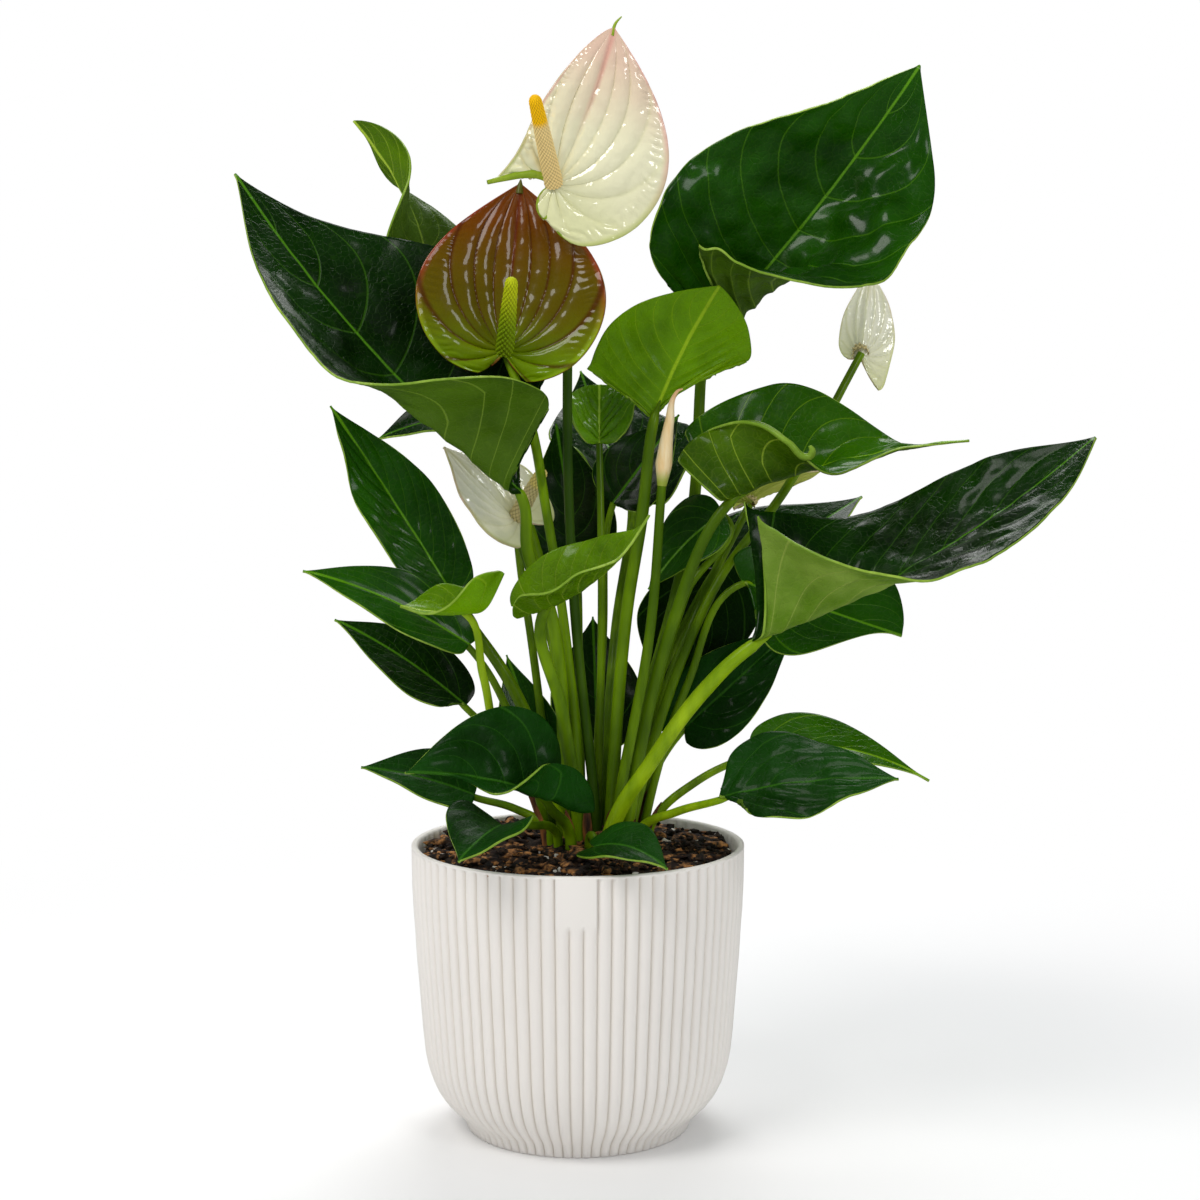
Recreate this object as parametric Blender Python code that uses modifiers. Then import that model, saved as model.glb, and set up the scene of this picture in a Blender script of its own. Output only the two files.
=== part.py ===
"""Potted anthurium: a moulded ribbed pot, its soil, the crown, leaves and flowers.

Metres, +Z up, origin at the centre of the pot's flat base, front towards -Y.
The tables below give places in millimetres; MM turns them into metres.
"""
import math

import bmesh
import bpy
from mathutils import Matrix, Vector

MM = 0.001

# pot
POT_HEIGHT = 121.0
RIBS = 76
GROOVE_DEPTH = 1.0
PANEL_RIBS = 3            # ribs left out for the bare panel at the front
PANEL_HEIGHT = 22.0
RIM_BAND = 2.2            # smooth band above the ribs
RIM_RADIUS = 70.0
MOUTH_RADIUS = 65.1
FLOOR = 4.0
# outer profile, height and radius: foot, waist, then the tall flared wall
WALL = [(0.0, 47.3), (5.8, 49.6), (12.2, 56.2), (20.0, 60.8), (33.0, 64.7), (64.0, 67.3)]

# soil and crown
GAP = 0.3
SOIL_EDGE = 114.0
SOIL_TOP = 119.0
CROWN_RADIUS = 25.0
CROWN_MIDDLE = 8.0        # the plant stands a little to the right in its pot
CROWN_TOP = 124.0

# leaves
BLADE = 1.2               # thickness of a leaf
SPATHE = 1.4              # thickness of a spathe
STALK = 2.7               # radius of a leaf stalk
FLOWER_STALK = 2.0
SPADIX = 3.9

EXIT = CROWN_TOP + GAP    # where each stalk leaves the crown


# ---------------------------------------------------------------- scene and materials

for old in list(bpy.data.objects):
    bpy.data.objects.remove(old, do_unlink=True)
parts = bpy.data.collections.new("potted_anthurium")
bpy.context.scene.collection.children.link(parts)


def material(name, colour, roughness):
    mat = bpy.data.materials.new(name)
    mat.use_nodes = True
    shader = mat.node_tree.nodes["Principled BSDF"]
    shader.inputs["Base Color"].default_value = (*colour, 1.0)
    shader.inputs["Roughness"].default_value = roughness
    return mat


def finish(obj, mat):
    """Put an object in the collection with its own copy of a material."""
    own = mat.copy()
    own.name = obj.name + "_" + mat.name
    obj.data.materials.append(own)
    parts.objects.link(obj)
    return obj


def mesh_object(name, bm, mat):
    bmesh.ops.recalc_face_normals(bm, faces=bm.faces)
    for face in bm.faces:
        face.smooth = True
    mesh = bpy.data.meshes.new(name)
    bm.to_mesh(mesh)
    bm.free()
    return finish(bpy.data.objects.new(name, mesh), mat)


POT_WHITE = material("pot_plastic", (0.83, 0.82, 0.79), 0.45)
PEAT = material("peat", (0.05, 0.03, 0.02), 0.9)
SHEATH = material("sheath", (0.25, 0.12, 0.05), 0.8)
DARK_LEAF = material("dark_leaf", (0.01, 0.07, 0.012), 0.25)
YOUNG_LEAF = material("young_leaf", (0.09, 0.27, 0.01), 0.3)
STALK_GREEN = material("stalk_green", (0.16, 0.33, 0.01), 0.4)
SPATHE_WHITE = material("spathe_white", (0.8, 0.82, 0.6), 0.25)
SPATHE_BRONZE = material("spathe_bronze", (0.13, 0.09, 0.01), 0.2)
SPADIX_YELLOW = material("spadix_yellow", (0.8, 0.5, 0.1), 0.6)
SPADIX_GREEN = material("spadix_green", (0.3, 0.42, 0.03), 0.6)


# ---------------------------------------------------------------- pot, soil and crown

def stack_rings(bm, ring, levels):
    """Extrude an edge ring through a list of levels; each level maps angle to place."""
    for place in levels:
        grown = bmesh.ops.extrude_edge_only(bm, edges=ring)["geom"]
        ring = [e for e in grown if isinstance(e, bmesh.types.BMEdge)]
        verts = {v for e in ring for v in e.verts}
        for v in verts:
            v.co = place(math.atan2(v.co.y, v.co.x))
    return ring


def plain_level(radius, height):
    return lambda angle: Vector((radius * math.cos(angle), radius * math.sin(angle), height)) * MM


def ribbed_level(radius, height, panel):
    """A level of the outer wall: full radius on the ribs, less in the narrow grooves."""
    def place(angle):
        turn = (angle + math.pi / 2) / math.tau * RIBS      # 0 on the front rib
        offset = abs(turn - round(turn))
        from_front = abs(math.remainder(turn, RIBS))
        bare = panel and from_front < PANEL_RIBS / 2 - 0.2
        r = radius - (GROOVE_DEPTH if offset > 0.45 and not bare else 0.0)
        return Vector((r * math.cos(angle), r * math.sin(angle), height)) * MM
    return place


def make_pot():
    bm = bmesh.new()
    step = math.tau / RIBS
    made = bmesh.ops.create_circle(bm, cap_ends=False, segments=RIBS * 3, radius=1.0)
    # three points to a rib: its two shoulders and the bottom of the groove beside it
    spots = []
    for rib in range(RIBS):
        front = -math.pi / 2 + rib * step
        spots += [front - 0.3 * step, front + 0.3 * step, front + 0.5 * step]
    ordered = sorted(made["verts"], key=lambda v: math.atan2(v.co.y, v.co.x) % math.tau)
    spots = sorted(s % math.tau for s in spots)
    for v, angle in zip(ordered, spots):
        v.co = Vector((math.cos(angle), math.sin(angle), 0))
    first = ribbed_level(WALL[0][1], WALL[0][0], False)
    for v in ordered:
        v.co = first(math.atan2(v.co.y, v.co.x))
    base = list(bm.edges)
    panel_foot = POT_HEIGHT - PANEL_HEIGHT
    panel_r = 69.6
    levels = [ribbed_level(r, z, False) for z, r in WALL[1:]]
    levels += [ribbed_level(panel_r, panel_foot, False),
               ribbed_level(panel_r, panel_foot + 1.5, True),
               ribbed_level(RIM_RADIUS, POT_HEIGHT - RIM_BAND - 1, True),
               plain_level(RIM_RADIUS, POT_HEIGHT - RIM_BAND),
               plain_level(RIM_RADIUS, POT_HEIGHT)]
    rim = stack_rings(bm, base, levels)
    at_mouth = Matrix.Translation((0, 0, POT_HEIGHT * MM))
    made = bmesh.ops.create_circle(bm, cap_ends=False, segments=RIBS, radius=MOUTH_RADIUS * MM,
                                   matrix=at_mouth)
    mouth = list({e for v in made["verts"] for e in v.link_edges})
    floor = stack_rings(bm, mouth, [plain_level(59.0, 30.0), plain_level(44.0, FLOOR)])
    bmesh.ops.bridge_loops(bm, edges=rim + mouth)
    bmesh.ops.contextual_create(bm, geom=floor)
    bmesh.ops.contextual_create(bm, geom=base)
    # fan each flat end round a point at its middle, so that the base has material there
    ends = [f for f in bm.faces if len(f.verts) > 4]
    bmesh.ops.poke(bm, faces=ends)
    return mesh_object("pot", bm, POT_WHITE)


def turned(name, profile, steps, mat):
    """A solid of revolution round Z from a half profile that begins and ends on the axis."""
    bm = bmesh.new()
    spots = [bm.verts.new(Vector((r, 0, z)) * MM) for r, z in profile]
    edges = [bm.edges.new(pair) for pair in zip(spots, spots[1:])]
    bmesh.ops.spin(bm, geom=spots + edges, cent=(0, 0, 0), axis=(0, 0, 1), angle=math.tau,
                   steps=steps, use_merge=True)
    bmesh.ops.remove_doubles(bm, verts=bm.verts, dist=1e-6)
    return mesh_object(name, bm, mat)


def make_soil_and_crown():
    slack = GAP + 0.05
    turned("soil", [(0, FLOOR + slack), (44 - slack, FLOOR + slack), (59 - slack, 30),
                    (64.7 - slack, SOIL_EDGE), (50, 117.2), (CROWN_RADIUS + CROWN_MIDDLE + 3, SOIL_TOP),
                    (0, SOIL_TOP)], 32, PEAT)
    crown = turned("crown", [(0, SOIL_TOP + GAP), (CROWN_RADIUS + 1.5, SOIL_TOP + GAP),
                             (CROWN_RADIUS, CROWN_TOP), (0, CROWN_TOP)], 24, SHEATH)
    crown.data.transform(Matrix.Translation((CROWN_MIDDLE * MM, 0, 0)))


# ---------------------------------------------------------------- leaves

def ease(t):
    t = min(max(t, 0.0), 1.0)
    return t * t * (3 - 2 * t)


class Blade:
    """A folded heart-shaped leaf or spathe on a curved midrib.

    base and tip are the midrib's ends and bow is how far its middle stands off the chord.
    half is the width of the left and right half, and lobe how far each reaches behind the
    base as a share of the length. left and right are the fold of each half over the midrib,
    in degrees, at the base, the middle and the tip. faces is where the upper side looks.
    """

    def __init__(self, base, tip, bow=(0, 0, 0), half=(30, 30), lobe=(0.2, 0.2), faces=(0, 0, 1),
                 left=(30, 20, 20), right=(30, 20, 20), twist=0, crease=0.35, belly=0.22,
                 point=1.2, root=(0.3, 0.3)):
        self.base, self.tip = Vector(base), Vector(tip)
        self.pull = (self.base + self.tip) / 2 + 2 * Vector(bow)
        self.half, self.lobe, self.twist, self.crease = half, lobe, twist, crease
        self.point = point if isinstance(point, tuple) else (point, point)
        self.belly = belly if isinstance(belly, tuple) else (belly, belly)
        self.root, self.folds = root, (left, right)
        count = 40
        self.spots = [self.bezier(i / count) for i in range(count + 1)]
        self.ways = [self.slope(i / count) for i in range(count + 1)]
        self.run = [0.0]
        for a, b in zip(self.spots, self.spots[1:]):
            self.run.append(self.run[-1] + (b - a).length)
        self.length = self.run[-1]
        self.ups = [None] * (count + 1)
        middle = count // 2
        self.ups[middle] = self.square(Vector(faces), self.ways[middle])
        for i in range(middle + 1, count + 1):
            self.ups[i] = self.square(self.ups[i - 1], self.ways[i])
        for i in range(middle - 1, -1, -1):
            self.ups[i] = self.square(self.ups[i + 1], self.ways[i])

    @staticmethod
    def square(up, way):
        return (up - way * up.dot(way)).normalized()

    def bezier(self, t):
        return self.base * (1 - t) ** 2 + self.pull * 2 * t * (1 - t) + self.tip * t * t

    def slope(self, t):
        return ((self.pull - self.base) * (1 - t) + (self.tip - self.pull) * t).normalized()

    def frame(self, share):
        """Point, direction, up and right of the midrib at a share of its length."""
        goal = min(max(share, 0.0), 1.0) * self.length
        i = 0
        while i < len(self.run) - 2 and self.run[i + 1] < goal:
            i += 1
        mix = (goal - self.run[i]) / (self.run[i + 1] - self.run[i])
        spot = self.spots[i].lerp(self.spots[i + 1], mix)
        way = self.ways[i].lerp(self.ways[i + 1], mix).normalized()
        up = self.square(self.ups[i].lerp(self.ups[i + 1], mix), way)
        turn = Matrix.Rotation(math.radians(self.twist) * (share - 0.5), 3, way)
        up = turn @ up
        if share < 0:
            spot = spot + way * share * self.length
        return spot, way, up, way.cross(up)

    def edge(self, s, side):
        """The heart outline: share of length and share of half width for row s."""
        round_part, belly, root = 0.42, self.belly[side], self.root[side]
        if s < round_part:
            t = math.pi / 2 * s / round_part
            return (belly - (belly + self.lobe[side]) * math.cos(t),
                    root + (1 - root) * math.sin(t))
        v = (s - round_part) / (1 - round_part)
        return belly + (1 - belly) * v, max(math.cos(math.pi / 2 * v), 0.0) ** self.point[side]

    def at(self, s, u):
        """A point of the blade: s runs from base to tip, u from the left edge to the right."""
        q, side = abs(u), (1 if u > 0 else 0)
        along, out = self.edge(s, side)
        share = s ** 1.6 + (along - s ** 1.6) * q
        width = self.half[side]
        reach = max(out, 0.6 / width) * width * q ** (1 + 0.5 * max(0.0, 1 - s / 0.3))
        spot, _, up, right = self.frame(share)
        base, middle, tip = self.folds[side]
        if share < 0.5:
            fold = base + (middle - base) * ease(share / 0.5)
        else:
            fold = middle + (tip - middle) * ease((share - 0.5) / 0.5)
        fold = math.radians(fold)
        bend = self.crease * width
        if abs(fold) < 1e-4:
            x, z = reach, 0.0
        else:
            k = fold / bend
            turned_by = k * min(reach, bend)
            x, z = math.sin(turned_by) / k, (1 - math.cos(turned_by)) / k
            if reach > bend:
                x += (reach - bend) * math.cos(fold)
                z += (reach - bend) * math.sin(fold)
        return spot + right * (x if side else -x) + up * z


def make_blade(name, blade, thickness, mat, rows=8, columns=6):
    bm = bmesh.new()
    bmesh.ops.create_grid(bm, x_segments=columns, y_segments=rows, size=1.0)
    for v in bm.verts:
        v.co = blade.at((v.co.y + 1) / 2, v.co.x) * MM
    obj = mesh_object(name, bm, mat)
    shell = obj.modifiers.new("thickness", "SOLIDIFY")
    shell.thickness = thickness * MM
    shell.offset = 0.0
    shell.use_even_offset = False
    return obj


def make_stalk(name, points, radii, mat, sides=1, fine=4):
    """A round stalk on a smooth curve through a few points, in millimetres."""
    curve = bpy.data.curves.new(name, "CURVE")
    curve.dimensions = "3D"
    curve.bevel_depth = MM
    curve.bevel_resolution = sides
    curve.use_fill_caps = True
    curve.resolution_u = fine
    spline = curve.splines.new("BEZIER")
    spline.bezier_points.add(len(points) - 1)
    for spot, place, radius in zip(spline.bezier_points, points, radii):
        spot.co = Vector(place) * MM
        spot.handle_left_type = spot.handle_right_type = "AUTO"
        spot.radius = radius
    return finish(bpy.data.objects.new(name, curve), mat)


def crown_site(ring, degrees):
    """Where a stalk stands on the crown: on one of four rings round its middle."""
    radius = (0.0, 7.0, 14.0, 21.0)[ring]
    angle = math.radians(degrees)
    return Vector((CROWN_MIDDLE + radius * math.cos(angle), radius * math.sin(angle), EXIT))


def stalk_path(site, goal, up, radius, thickness, via, overlap=0.0):
    """From the crown, straight up a little, through via, to just under the blade's base."""
    start = crown_site(*site)
    lift = start + Vector((0, 0, 7))
    middle = [Vector(p) for p in via]
    if not middle:
        middle = [Vector((lift.x + (goal.x - lift.x) * 0.42, lift.y + (goal.y - lift.y) * 0.42,
                          lift.z + (goal.z - lift.z) * 0.56))]
    way = (goal - middle[-1]).normalized()
    lean = math.sqrt(max(0.0, 1 - way.dot(up) ** 2))
    end = goal - up * (thickness / 2 + GAP + 0.3 + radius * lean - overlap)
    return [start, lift] + middle + [end]


def joined(name, stalk, blade, mat):
    """Unite a small leaf's stalk and blade, which grew as one piece."""
    depsgraph = bpy.context.evaluated_depsgraph_get()
    rod = bpy.data.meshes.new_from_object(stalk.evaluated_get(depsgraph))
    bm = bmesh.new()
    bm.from_mesh(rod)
    bmesh.ops.remove_doubles(bm, verts=bm.verts, dist=1e-6)
    bmesh.ops.recalc_face_normals(bm, faces=bm.faces)
    bm.to_mesh(rod)
    bm.free()
    cutter = bpy.data.objects.new(name + "_stalk", rod)
    bpy.context.scene.collection.objects.link(cutter)
    union = blade.modifiers.new("stalk", "BOOLEAN")
    union.operation = "UNION"
    union.solver = "EXACT"
    union.object = cutter
    bpy.context.view_layer.update()
    depsgraph = bpy.context.evaluated_depsgraph_get()
    whole = bpy.data.meshes.new_from_object(blade.evaluated_get(depsgraph))
    for old in (stalk, blade, cutter):
        bpy.data.objects.remove(old, do_unlink=True)
    whole.materials.clear()
    whole.name = name
    return finish(bpy.data.objects.new(name, whole), mat)


# Large leaves: name, place on the crown, points that the stalk passes, blade
LEAVES = [
    ("left_upper", (2, 190), [(-10, -14, 215), (-20, -22, 245)], dict(
        base=(-22, -24, 269), tip=(-139, -10, 398), bow=(-5, -4, -4), half=(57, 72), lobe=(-0.08, -0.15),
        faces=(0.4, -0.7, 0.5), left=(135, 37, 0), right=(65, 32, 0), belly=0.2, root=(0.85, 0.5))),
    ("back_left_upper", (3, 119), [(-18, 36, 240)], dict(
        base=(-62, 32, 345), tip=(-95, 30, 424), bow=(8, 0, 2), half=(25, 23), lobe=(0.05, 0.1),
        faces=(1, -0.2, 0.3), left=(5, 5, 5), right=(20, 10, 10), twist=200, belly=(0.25, 0.2),
        point=(0.75, 2.2))),
    ("right_upper", (1, 30), [(48, 32, 250)], dict(
        base=(57, 42, 336), tip=(144, 28, 447), bow=(3, 0, -1), half=(59, 73), lobe=(-0.02, -0.18),
        faces=(0.3, -0.9, 0.3), left=(30, 15, 60), right=(152, 58, -20), crease=0.22, point=1.05,
        root=(0.5, 1.15))),
    ("middle_young", (1, 325), [(20, -2, 215), (27, 1, 260)], dict(
        base=(31, 4, 298), tip=(59, 8, 354), bow=(-2, 2, 0), half=(30, 33), lobe=(-0.65, -0.17),
        faces=(-0.1, 0.9, 0.3), left=(30, 20, 10), right=(30, 20, 10), belly=(0.68, 0.35),
        point=(0.7, 1.0), root=(0.8, 1.02))),
    ("right_middle", (2, 333), [(40, 0, 215)], dict(
        base=(63, 0, 266), tip=(160, -15, 290), bow=(0, 8, 4), half=(43, 35), lobe=(0.05, 0.14),
        faces=(0.1, -0.3, 0.9), left=(70, 62, 30), right=(122, 15, -10), belly=(0.3, 0.05),
        point=(3.6, 2.3), root=(0.8, 0.78))),
    ("right_long", (3, 283), [(30, -32, 160), (52, -42, 192)], dict(
        base=(69, -45, 211), tip=(204, -50, 292), bow=(3, 0, -7), half=(43, 38), lobe=(-0.12, -0.14),
        faces=(-0.3, -0.3, 0.9), left=(80, 16, 55), right=(126, 12, -28), belly=0.4, point=0.85,
        root=(1.3, 1.4))),
    ("right_low", (3, 320), [(40, -24, 138)], dict(
        base=(57, -40, 147), tip=(126, -66, 159), bow=(0, 0, 3), half=(27, 17), lobe=(-0.05, -0.15),
        faces=(0.1, -0.7, 0.7), left=(10, -5, 0), right=(10, -5, 0), belly=(0.25, 0.42))),
    ("left_middle", (2, 165), [], dict(
        base=(-51, 3, 223), tip=(-104, 13, 304), bow=(2, 0, -2), half=(17, 18), lobe=(0, 0),
        faces=(0.2, -0.9, 0.3), left=(20, 20, 20), right=(20, 20, 20), belly=0.42)),
    ("front_boat", (2, 240), [(-6, -30, 180)], dict(
        base=(-13, -50, 225), tip=(28, -80, 263), bow=(3, 0, -4), half=(21, 20), lobe=(0.25, 0.15),
        faces=(-0.4, -0.4, 0.9), left=(60, 40, 20), right=(60, 40, 20))),
    ("left_low_front", (3, 240), [(-10, -36, 141)], dict(
        base=(-14, -50, 150), tip=(-66, -75, 163), bow=(0, 0, 3), half=(21, 32), lobe=(0.37, 0.1),
        faces=(0, -0.9, 0.5), left=(178, 20, 0), right=(10, 10, 10), belly=(-0.15, 0.22),
        point=(3.6, 1.2))),
    ("back_high", (3, 83), [], dict(
        base=(24, 80, 262), tip=(0, 140, 320), bow=(0, 6, -4), half=(40, 40), lobe=(0.15, 0.15),
        faces=(0.1, -0.5, 0.8), left=(50, 30, 15), right=(50, 30, 15))),
]

# How much farther up the stalk goes where the blade is folded steeply at its base
REACH = {"right_middle": 1.3, "right_long": 0.8}

# Small leaves, each one piece with its stalk: name, place, points on the stalk, blade
SMALL_LEAVES = [
    ("right_under", (3, 20), [], dict(
        base=(70, 12.5, 230), tip=(137, 11, 207), bow=(0, 0, 0), half=(28, 29), lobe=(0.1, -0.12),
        faces=(0, -0.8, 0.6), left=(15, 5, 0), right=(10, 5, 0), belly=(0.75, 0.3),
        point=(0.5, 2.2))),
    ("right_dark", (3, 42), [], dict(
        base=(47, 30, 166), tip=(95, 34, 210), half=(19, 18), lobe=(0.15, 0.08),
        faces=(0.3, -0.8, 0.5), left=(15, 10, 10), right=(15, 10, 10))),
    ("left_lower", (3, 188), [], dict(
        base=(-45, -10, 206), tip=(-112, -20, 237), bow=(0, 0, 4), half=(13, 16), lobe=(0, 0.03),
        faces=(0, -0.8, 0.7), left=(10, 10, 10), right=(10, 10, 10), belly=0.35)),
    ("left_lower_back", (3, 172), [], dict(
        base=(-48, 15, 177), tip=(-104, 20, 213), bow=(0, 0, 3), half=(14, 15), lobe=(-0.08, 0),
        faces=(0, -0.8, 0.7), left=(10, 10, 10), right=(10, 10, 10), belly=0.35)),
    ("right_inner_dark", (2, 68), [], dict(
        base=(64, 46, 234), tip=(35, 40, 179), half=(24, 26), lobe=(0.1, -0.1),
        faces=(0.2, -0.9, 0.3), left=(15, 10, 10), right=(15, 10, 10), belly=(0.3, 0.5))),
    ("right_low_back", (3, 0), [], dict(
        base=(73, 0, 159), tip=(146, -12, 149), bow=(0, 0, 8), half=(17, 14), lobe=(0, 0),
        faces=(0, -0.6, 0.8), left=(10, 10, 10), right=(10, 10, 10), point=1.8)),
    ("left_low_back", (3, 205), [], dict(
        base=(-43, -11, 143), tip=(-89, -20, 156), bow=(0, 0, 2), half=(12, 16), lobe=(0, 0),
        faces=(0, -0.7, 0.7), left=(10, 10, 10), right=(10, 10, 10))),
    ("rim_left", (3, 222), [], dict(
        base=(-30, -56, 139), tip=(-45, -84, 130), bow=(0, -2, 2), half=(18, 20), lobe=(0.1, 0.1),
        faces=(-0.2, -0.6, 0.8), left=(30, 20, 10), right=(30, 20, 10))),
    ("rim_front", (3, 261), [(8, -40, 127)], dict(
        base=(8, -58, 131), tip=(35, -88, 128), bow=(0, 0, 4), half=(14, 10), lobe=(0.2, 0.2),
        faces=(0.1, -0.7, 0.75), left=(5, 5, 5), right=(5, 5, 5))),
    ("left_cup", (2, 215), [(-31, -28, 165), (-38, -33, 196)], dict(
        base=(-45, -35, 222), tip=(-70, -46, 225), bow=(0, 0, -1), half=(26, 14), lobe=(0.42, 0.2),
        faces=(0.2, -0.3, 0.9), left=(90, 70, 20), right=(40, 40, 20), crease=0.5, belly=(-0.25, 0.2),
        point=(1.5, 1.2), root=(0.95, 0.5))),
    ("middle_unfurling", (1, 88), [(10, 8, 220)], dict(
        base=(9, 21, 289), tip=(9, 25, 313), half=(15, 18), lobe=(0.05, 0.05), faces=(0, -1, 0.2),
        left=(50, 40, 20), right=(50, 40, 20), belly=0.6, point=0.45)),
    ("middle_back", (2, 93), [], dict(
        base=(15, 45, 262), tip=(44, 56, 300), half=(17, 17), lobe=(0, 0), faces=(0, -0.8, 0.4),
        left=(20, 20, 20), right=(20, 20, 20))),
    ("centre_back", (2, 118), [], dict(
        base=(-1, 50, 238), tip=(-10, 58, 296), half=(20, 20), lobe=(0.1, 0.1), faces=(0, -1, 0.3),
        left=(15, 15, 15), right=(15, 15, 15))),
    ("left_inner", (3, 137), [], dict(
        base=(-13, 17.5, 150), tip=(-31, 28, 197), half=(17, 12), lobe=(0.1, 0.1), faces=(0, -0.9, 0.4),
        left=(15, 15, 15), right=(15, 15, 15))),
    ("right_inner", (2, 21), [(46, 14, 225)], dict(
        base=(62, 22, 258), tip=(30, 20, 226), bow=(0, 0, 4), half=(15, 15), lobe=(0, 0),
        faces=(-0.3, -0.8, 0.4), left=(15, 15, 15), right=(15, 15, 15))),
    ("far_left", (3, 155), [], dict(
        base=(-40, 56, 298), tip=(-89, 62, 289), bow=(0, 0, 4), half=(16, 18), lobe=(0.1, 0.1),
        faces=(0, -0.6, 0.8), left=(20, 20, 20), right=(20, 20, 20))),
    ("back_right", (3, 65), [(30, 52, 180)], dict(
        base=(66, 78, 225), tip=(130, 100, 262), half=(30, 30), lobe=(0.15, 0.15),
        faces=(0, -0.4, 0.9), left=(30, 20, 10), right=(30, 20, 10))),
    ("back_low", (3, 101), [], dict(
        base=(8, 62, 158), tip=(6, 84, 208), half=(22, 22), lobe=(0.15, 0.15),
        faces=(0, -0.8, 0.6), left=(30, 20, 10), right=(30, 20, 10))),
]

# Flowers: name, place on the crown, points on the stalk, spathe, top of the spadix
FLOWERS = [
    ("white", (0, 0), [(-2, -2, 230), (-4, -2, 330), (-2, -8, 374)], dict(
        base=(-9, -31, 392), tip=(17, -33, 457), half=(19, 40), lobe=(0.18, 0.32),
        faces=(0.1, -1, 0.1), left=(20, 10, 0), right=(0, 0, 0), bow=(2, 0, 0), point=(0.65, 1.0),
        root=(1.3, 0.1)),
     (-16, -59, 423), SPATHE_WHITE),
    ("bronze", (1, 205), [(-4, -4, 200), (-13, -8, 262), (-20, -28, 302)], dict(
        base=(-29, -27, 326), tip=(-23, -12, 394), half=(38, 40), lobe=(0.14, 0.17),
        faces=(0, -1, 0.3), left=(15, 15, 15), right=(15, 15, 15), belly=0.3, point=0.95,
        root=(0.25, 0.25)),
     (-25, -52, 354), SPATHE_BRONZE),
    ("far_white", (2, 357), [(57, 17, 225), (90, 30, 270)], dict(
        base=(123, 50, 326), tip=(128, 62, 362), half=(15, 11), lobe=(0.36, 0.05),
        faces=(0.1, 0.9, 0.3), left=(30, 20, 10), right=(30, 20, 10), point=0.9, root=(0.7, 0.4)),
     (124, 72, 342), SPATHE_WHITE),
    ("side_white", (1, 145), [], dict(
        base=(-26, 8, 257), tip=(-56, 6, 287), half=(23, 21), lobe=(0.22, 0.3),
        faces=(0.5, -0.5, 0.6), left=(5, 5, 5), right=(30, 30, 10), root=(0.5, 0.5)),
     (-14, -6, 278), SPATHE_WHITE),
    ("pale", (2, 45), [(53, 30, 220)], dict(
        base=(74, 48, 262), tip=(106, 48, 276), half=(14, 14), lobe=(0.2, 0.2),
        faces=(-0.3, 0.5, 0.8), left=(50, 30, 10), right=(50, 30, 10)),
     (84, 58, 276), SPATHE_WHITE),
]


def make_spadix(name, blade, goal, mat):
    """A tapering rod standing on the upper side of the spathe's base."""
    spot, _, up, _ = blade.frame(0)
    way = (Vector(goal) - spot).normalized()
    lean = math.sqrt(max(0.0, 1 - way.dot(up) ** 2))
    start = spot + up * (SPATHE / 2 + GAP + 0.3 + SPADIX * lean)
    return make_stalk(name, [start, start.lerp(Vector(goal), 0.5), Vector(goal)],
                      [SPADIX, SPADIX * 0.95, SPADIX * 0.62], mat, sides=2, fine=3)


def make_leaves():
    for name, site, via, shape in LEAVES:
        blade = Blade(**shape)
        mat = YOUNG_LEAF if name in ("middle_young", "front_boat") else DARK_LEAF
        make_blade("leaf_" + name, blade, BLADE, mat)
        up = blade.frame(0)[2]
        path = stalk_path(site, blade.base, up, STALK * 0.9, BLADE, via, REACH.get(name, 0))
        make_stalk("stem_" + name, path, [STALK * 1.15, STALK * 1.1] + [STALK] * len(path[3:])
                   + [STALK * 0.9], STALK_GREEN)
    for name, site, via, shape in SMALL_LEAVES:
        blade = Blade(**shape)
        sheet = make_blade("sheet", blade, BLADE, DARK_LEAF, rows=6, columns=4)
        up = blade.frame(0)[2]
        path = stalk_path(site, blade.base, up, 1.8, BLADE, via, overlap=1.7)
        rod = make_stalk("rod", path, [2.4, 2.3] + [2.0] * len(path[3:]) + [1.8], STALK_GREEN,
                         fine=3)
        joined("leaf_" + name, rod, sheet, DARK_LEAF)


def make_flowers():
    for name, site, via, shape, goal, mat in FLOWERS:
        blade = Blade(**shape)
        make_blade("spathe_" + name, blade, SPATHE, mat)
        up = blade.frame(0)[2]
        path = stalk_path(site, blade.base, up, FLOWER_STALK * 0.95, SPATHE, via)
        make_stalk("flower_stem_" + name, path, [FLOWER_STALK * 1.15] * 2
                   + [FLOWER_STALK] * len(path[3:]) + [FLOWER_STALK * 0.95], STALK_GREEN)
        make_spadix("spadix_" + name, blade, goal,
                    SPADIX_GREEN if name == "bronze" else SPADIX_YELLOW)
    # a closed bud on its own stalk
    bud_foot = Vector((35, 0, 271))
    start = crown_site(2, 305)
    path = [start, start + Vector((0, 0, 7)), Vector((30, -5, 210)), bud_foot]
    make_stalk("flower_stem_bud", path, [2.4, 2.3, 2.1, 1.9], STALK_GREEN)
    up = (bud_foot - path[2]).normalized()
    foot = bud_foot + up * GAP
    make_stalk("bud", [foot, foot + Vector((0.8, 0, 9)), foot + Vector((3, 0, 26)),
                       foot + Vector((7, -0.5, 41))], [2.0, 3.3, 2.2, 0.6], SPATHE_WHITE, sides=2)


make_pot()
make_soil_and_crown()
make_leaves()
make_flowers()
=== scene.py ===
"""Potted anthurium: the looks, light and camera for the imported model.

Every leaf, flower, stalk, the pot and the soil get a detailed piece in place of their plain
solid. Places in the tables are in millimetres, as in the model's own source.
"""
import math
import random

import bmesh
import bpy
from mathutils import Matrix, Vector, noise


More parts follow.
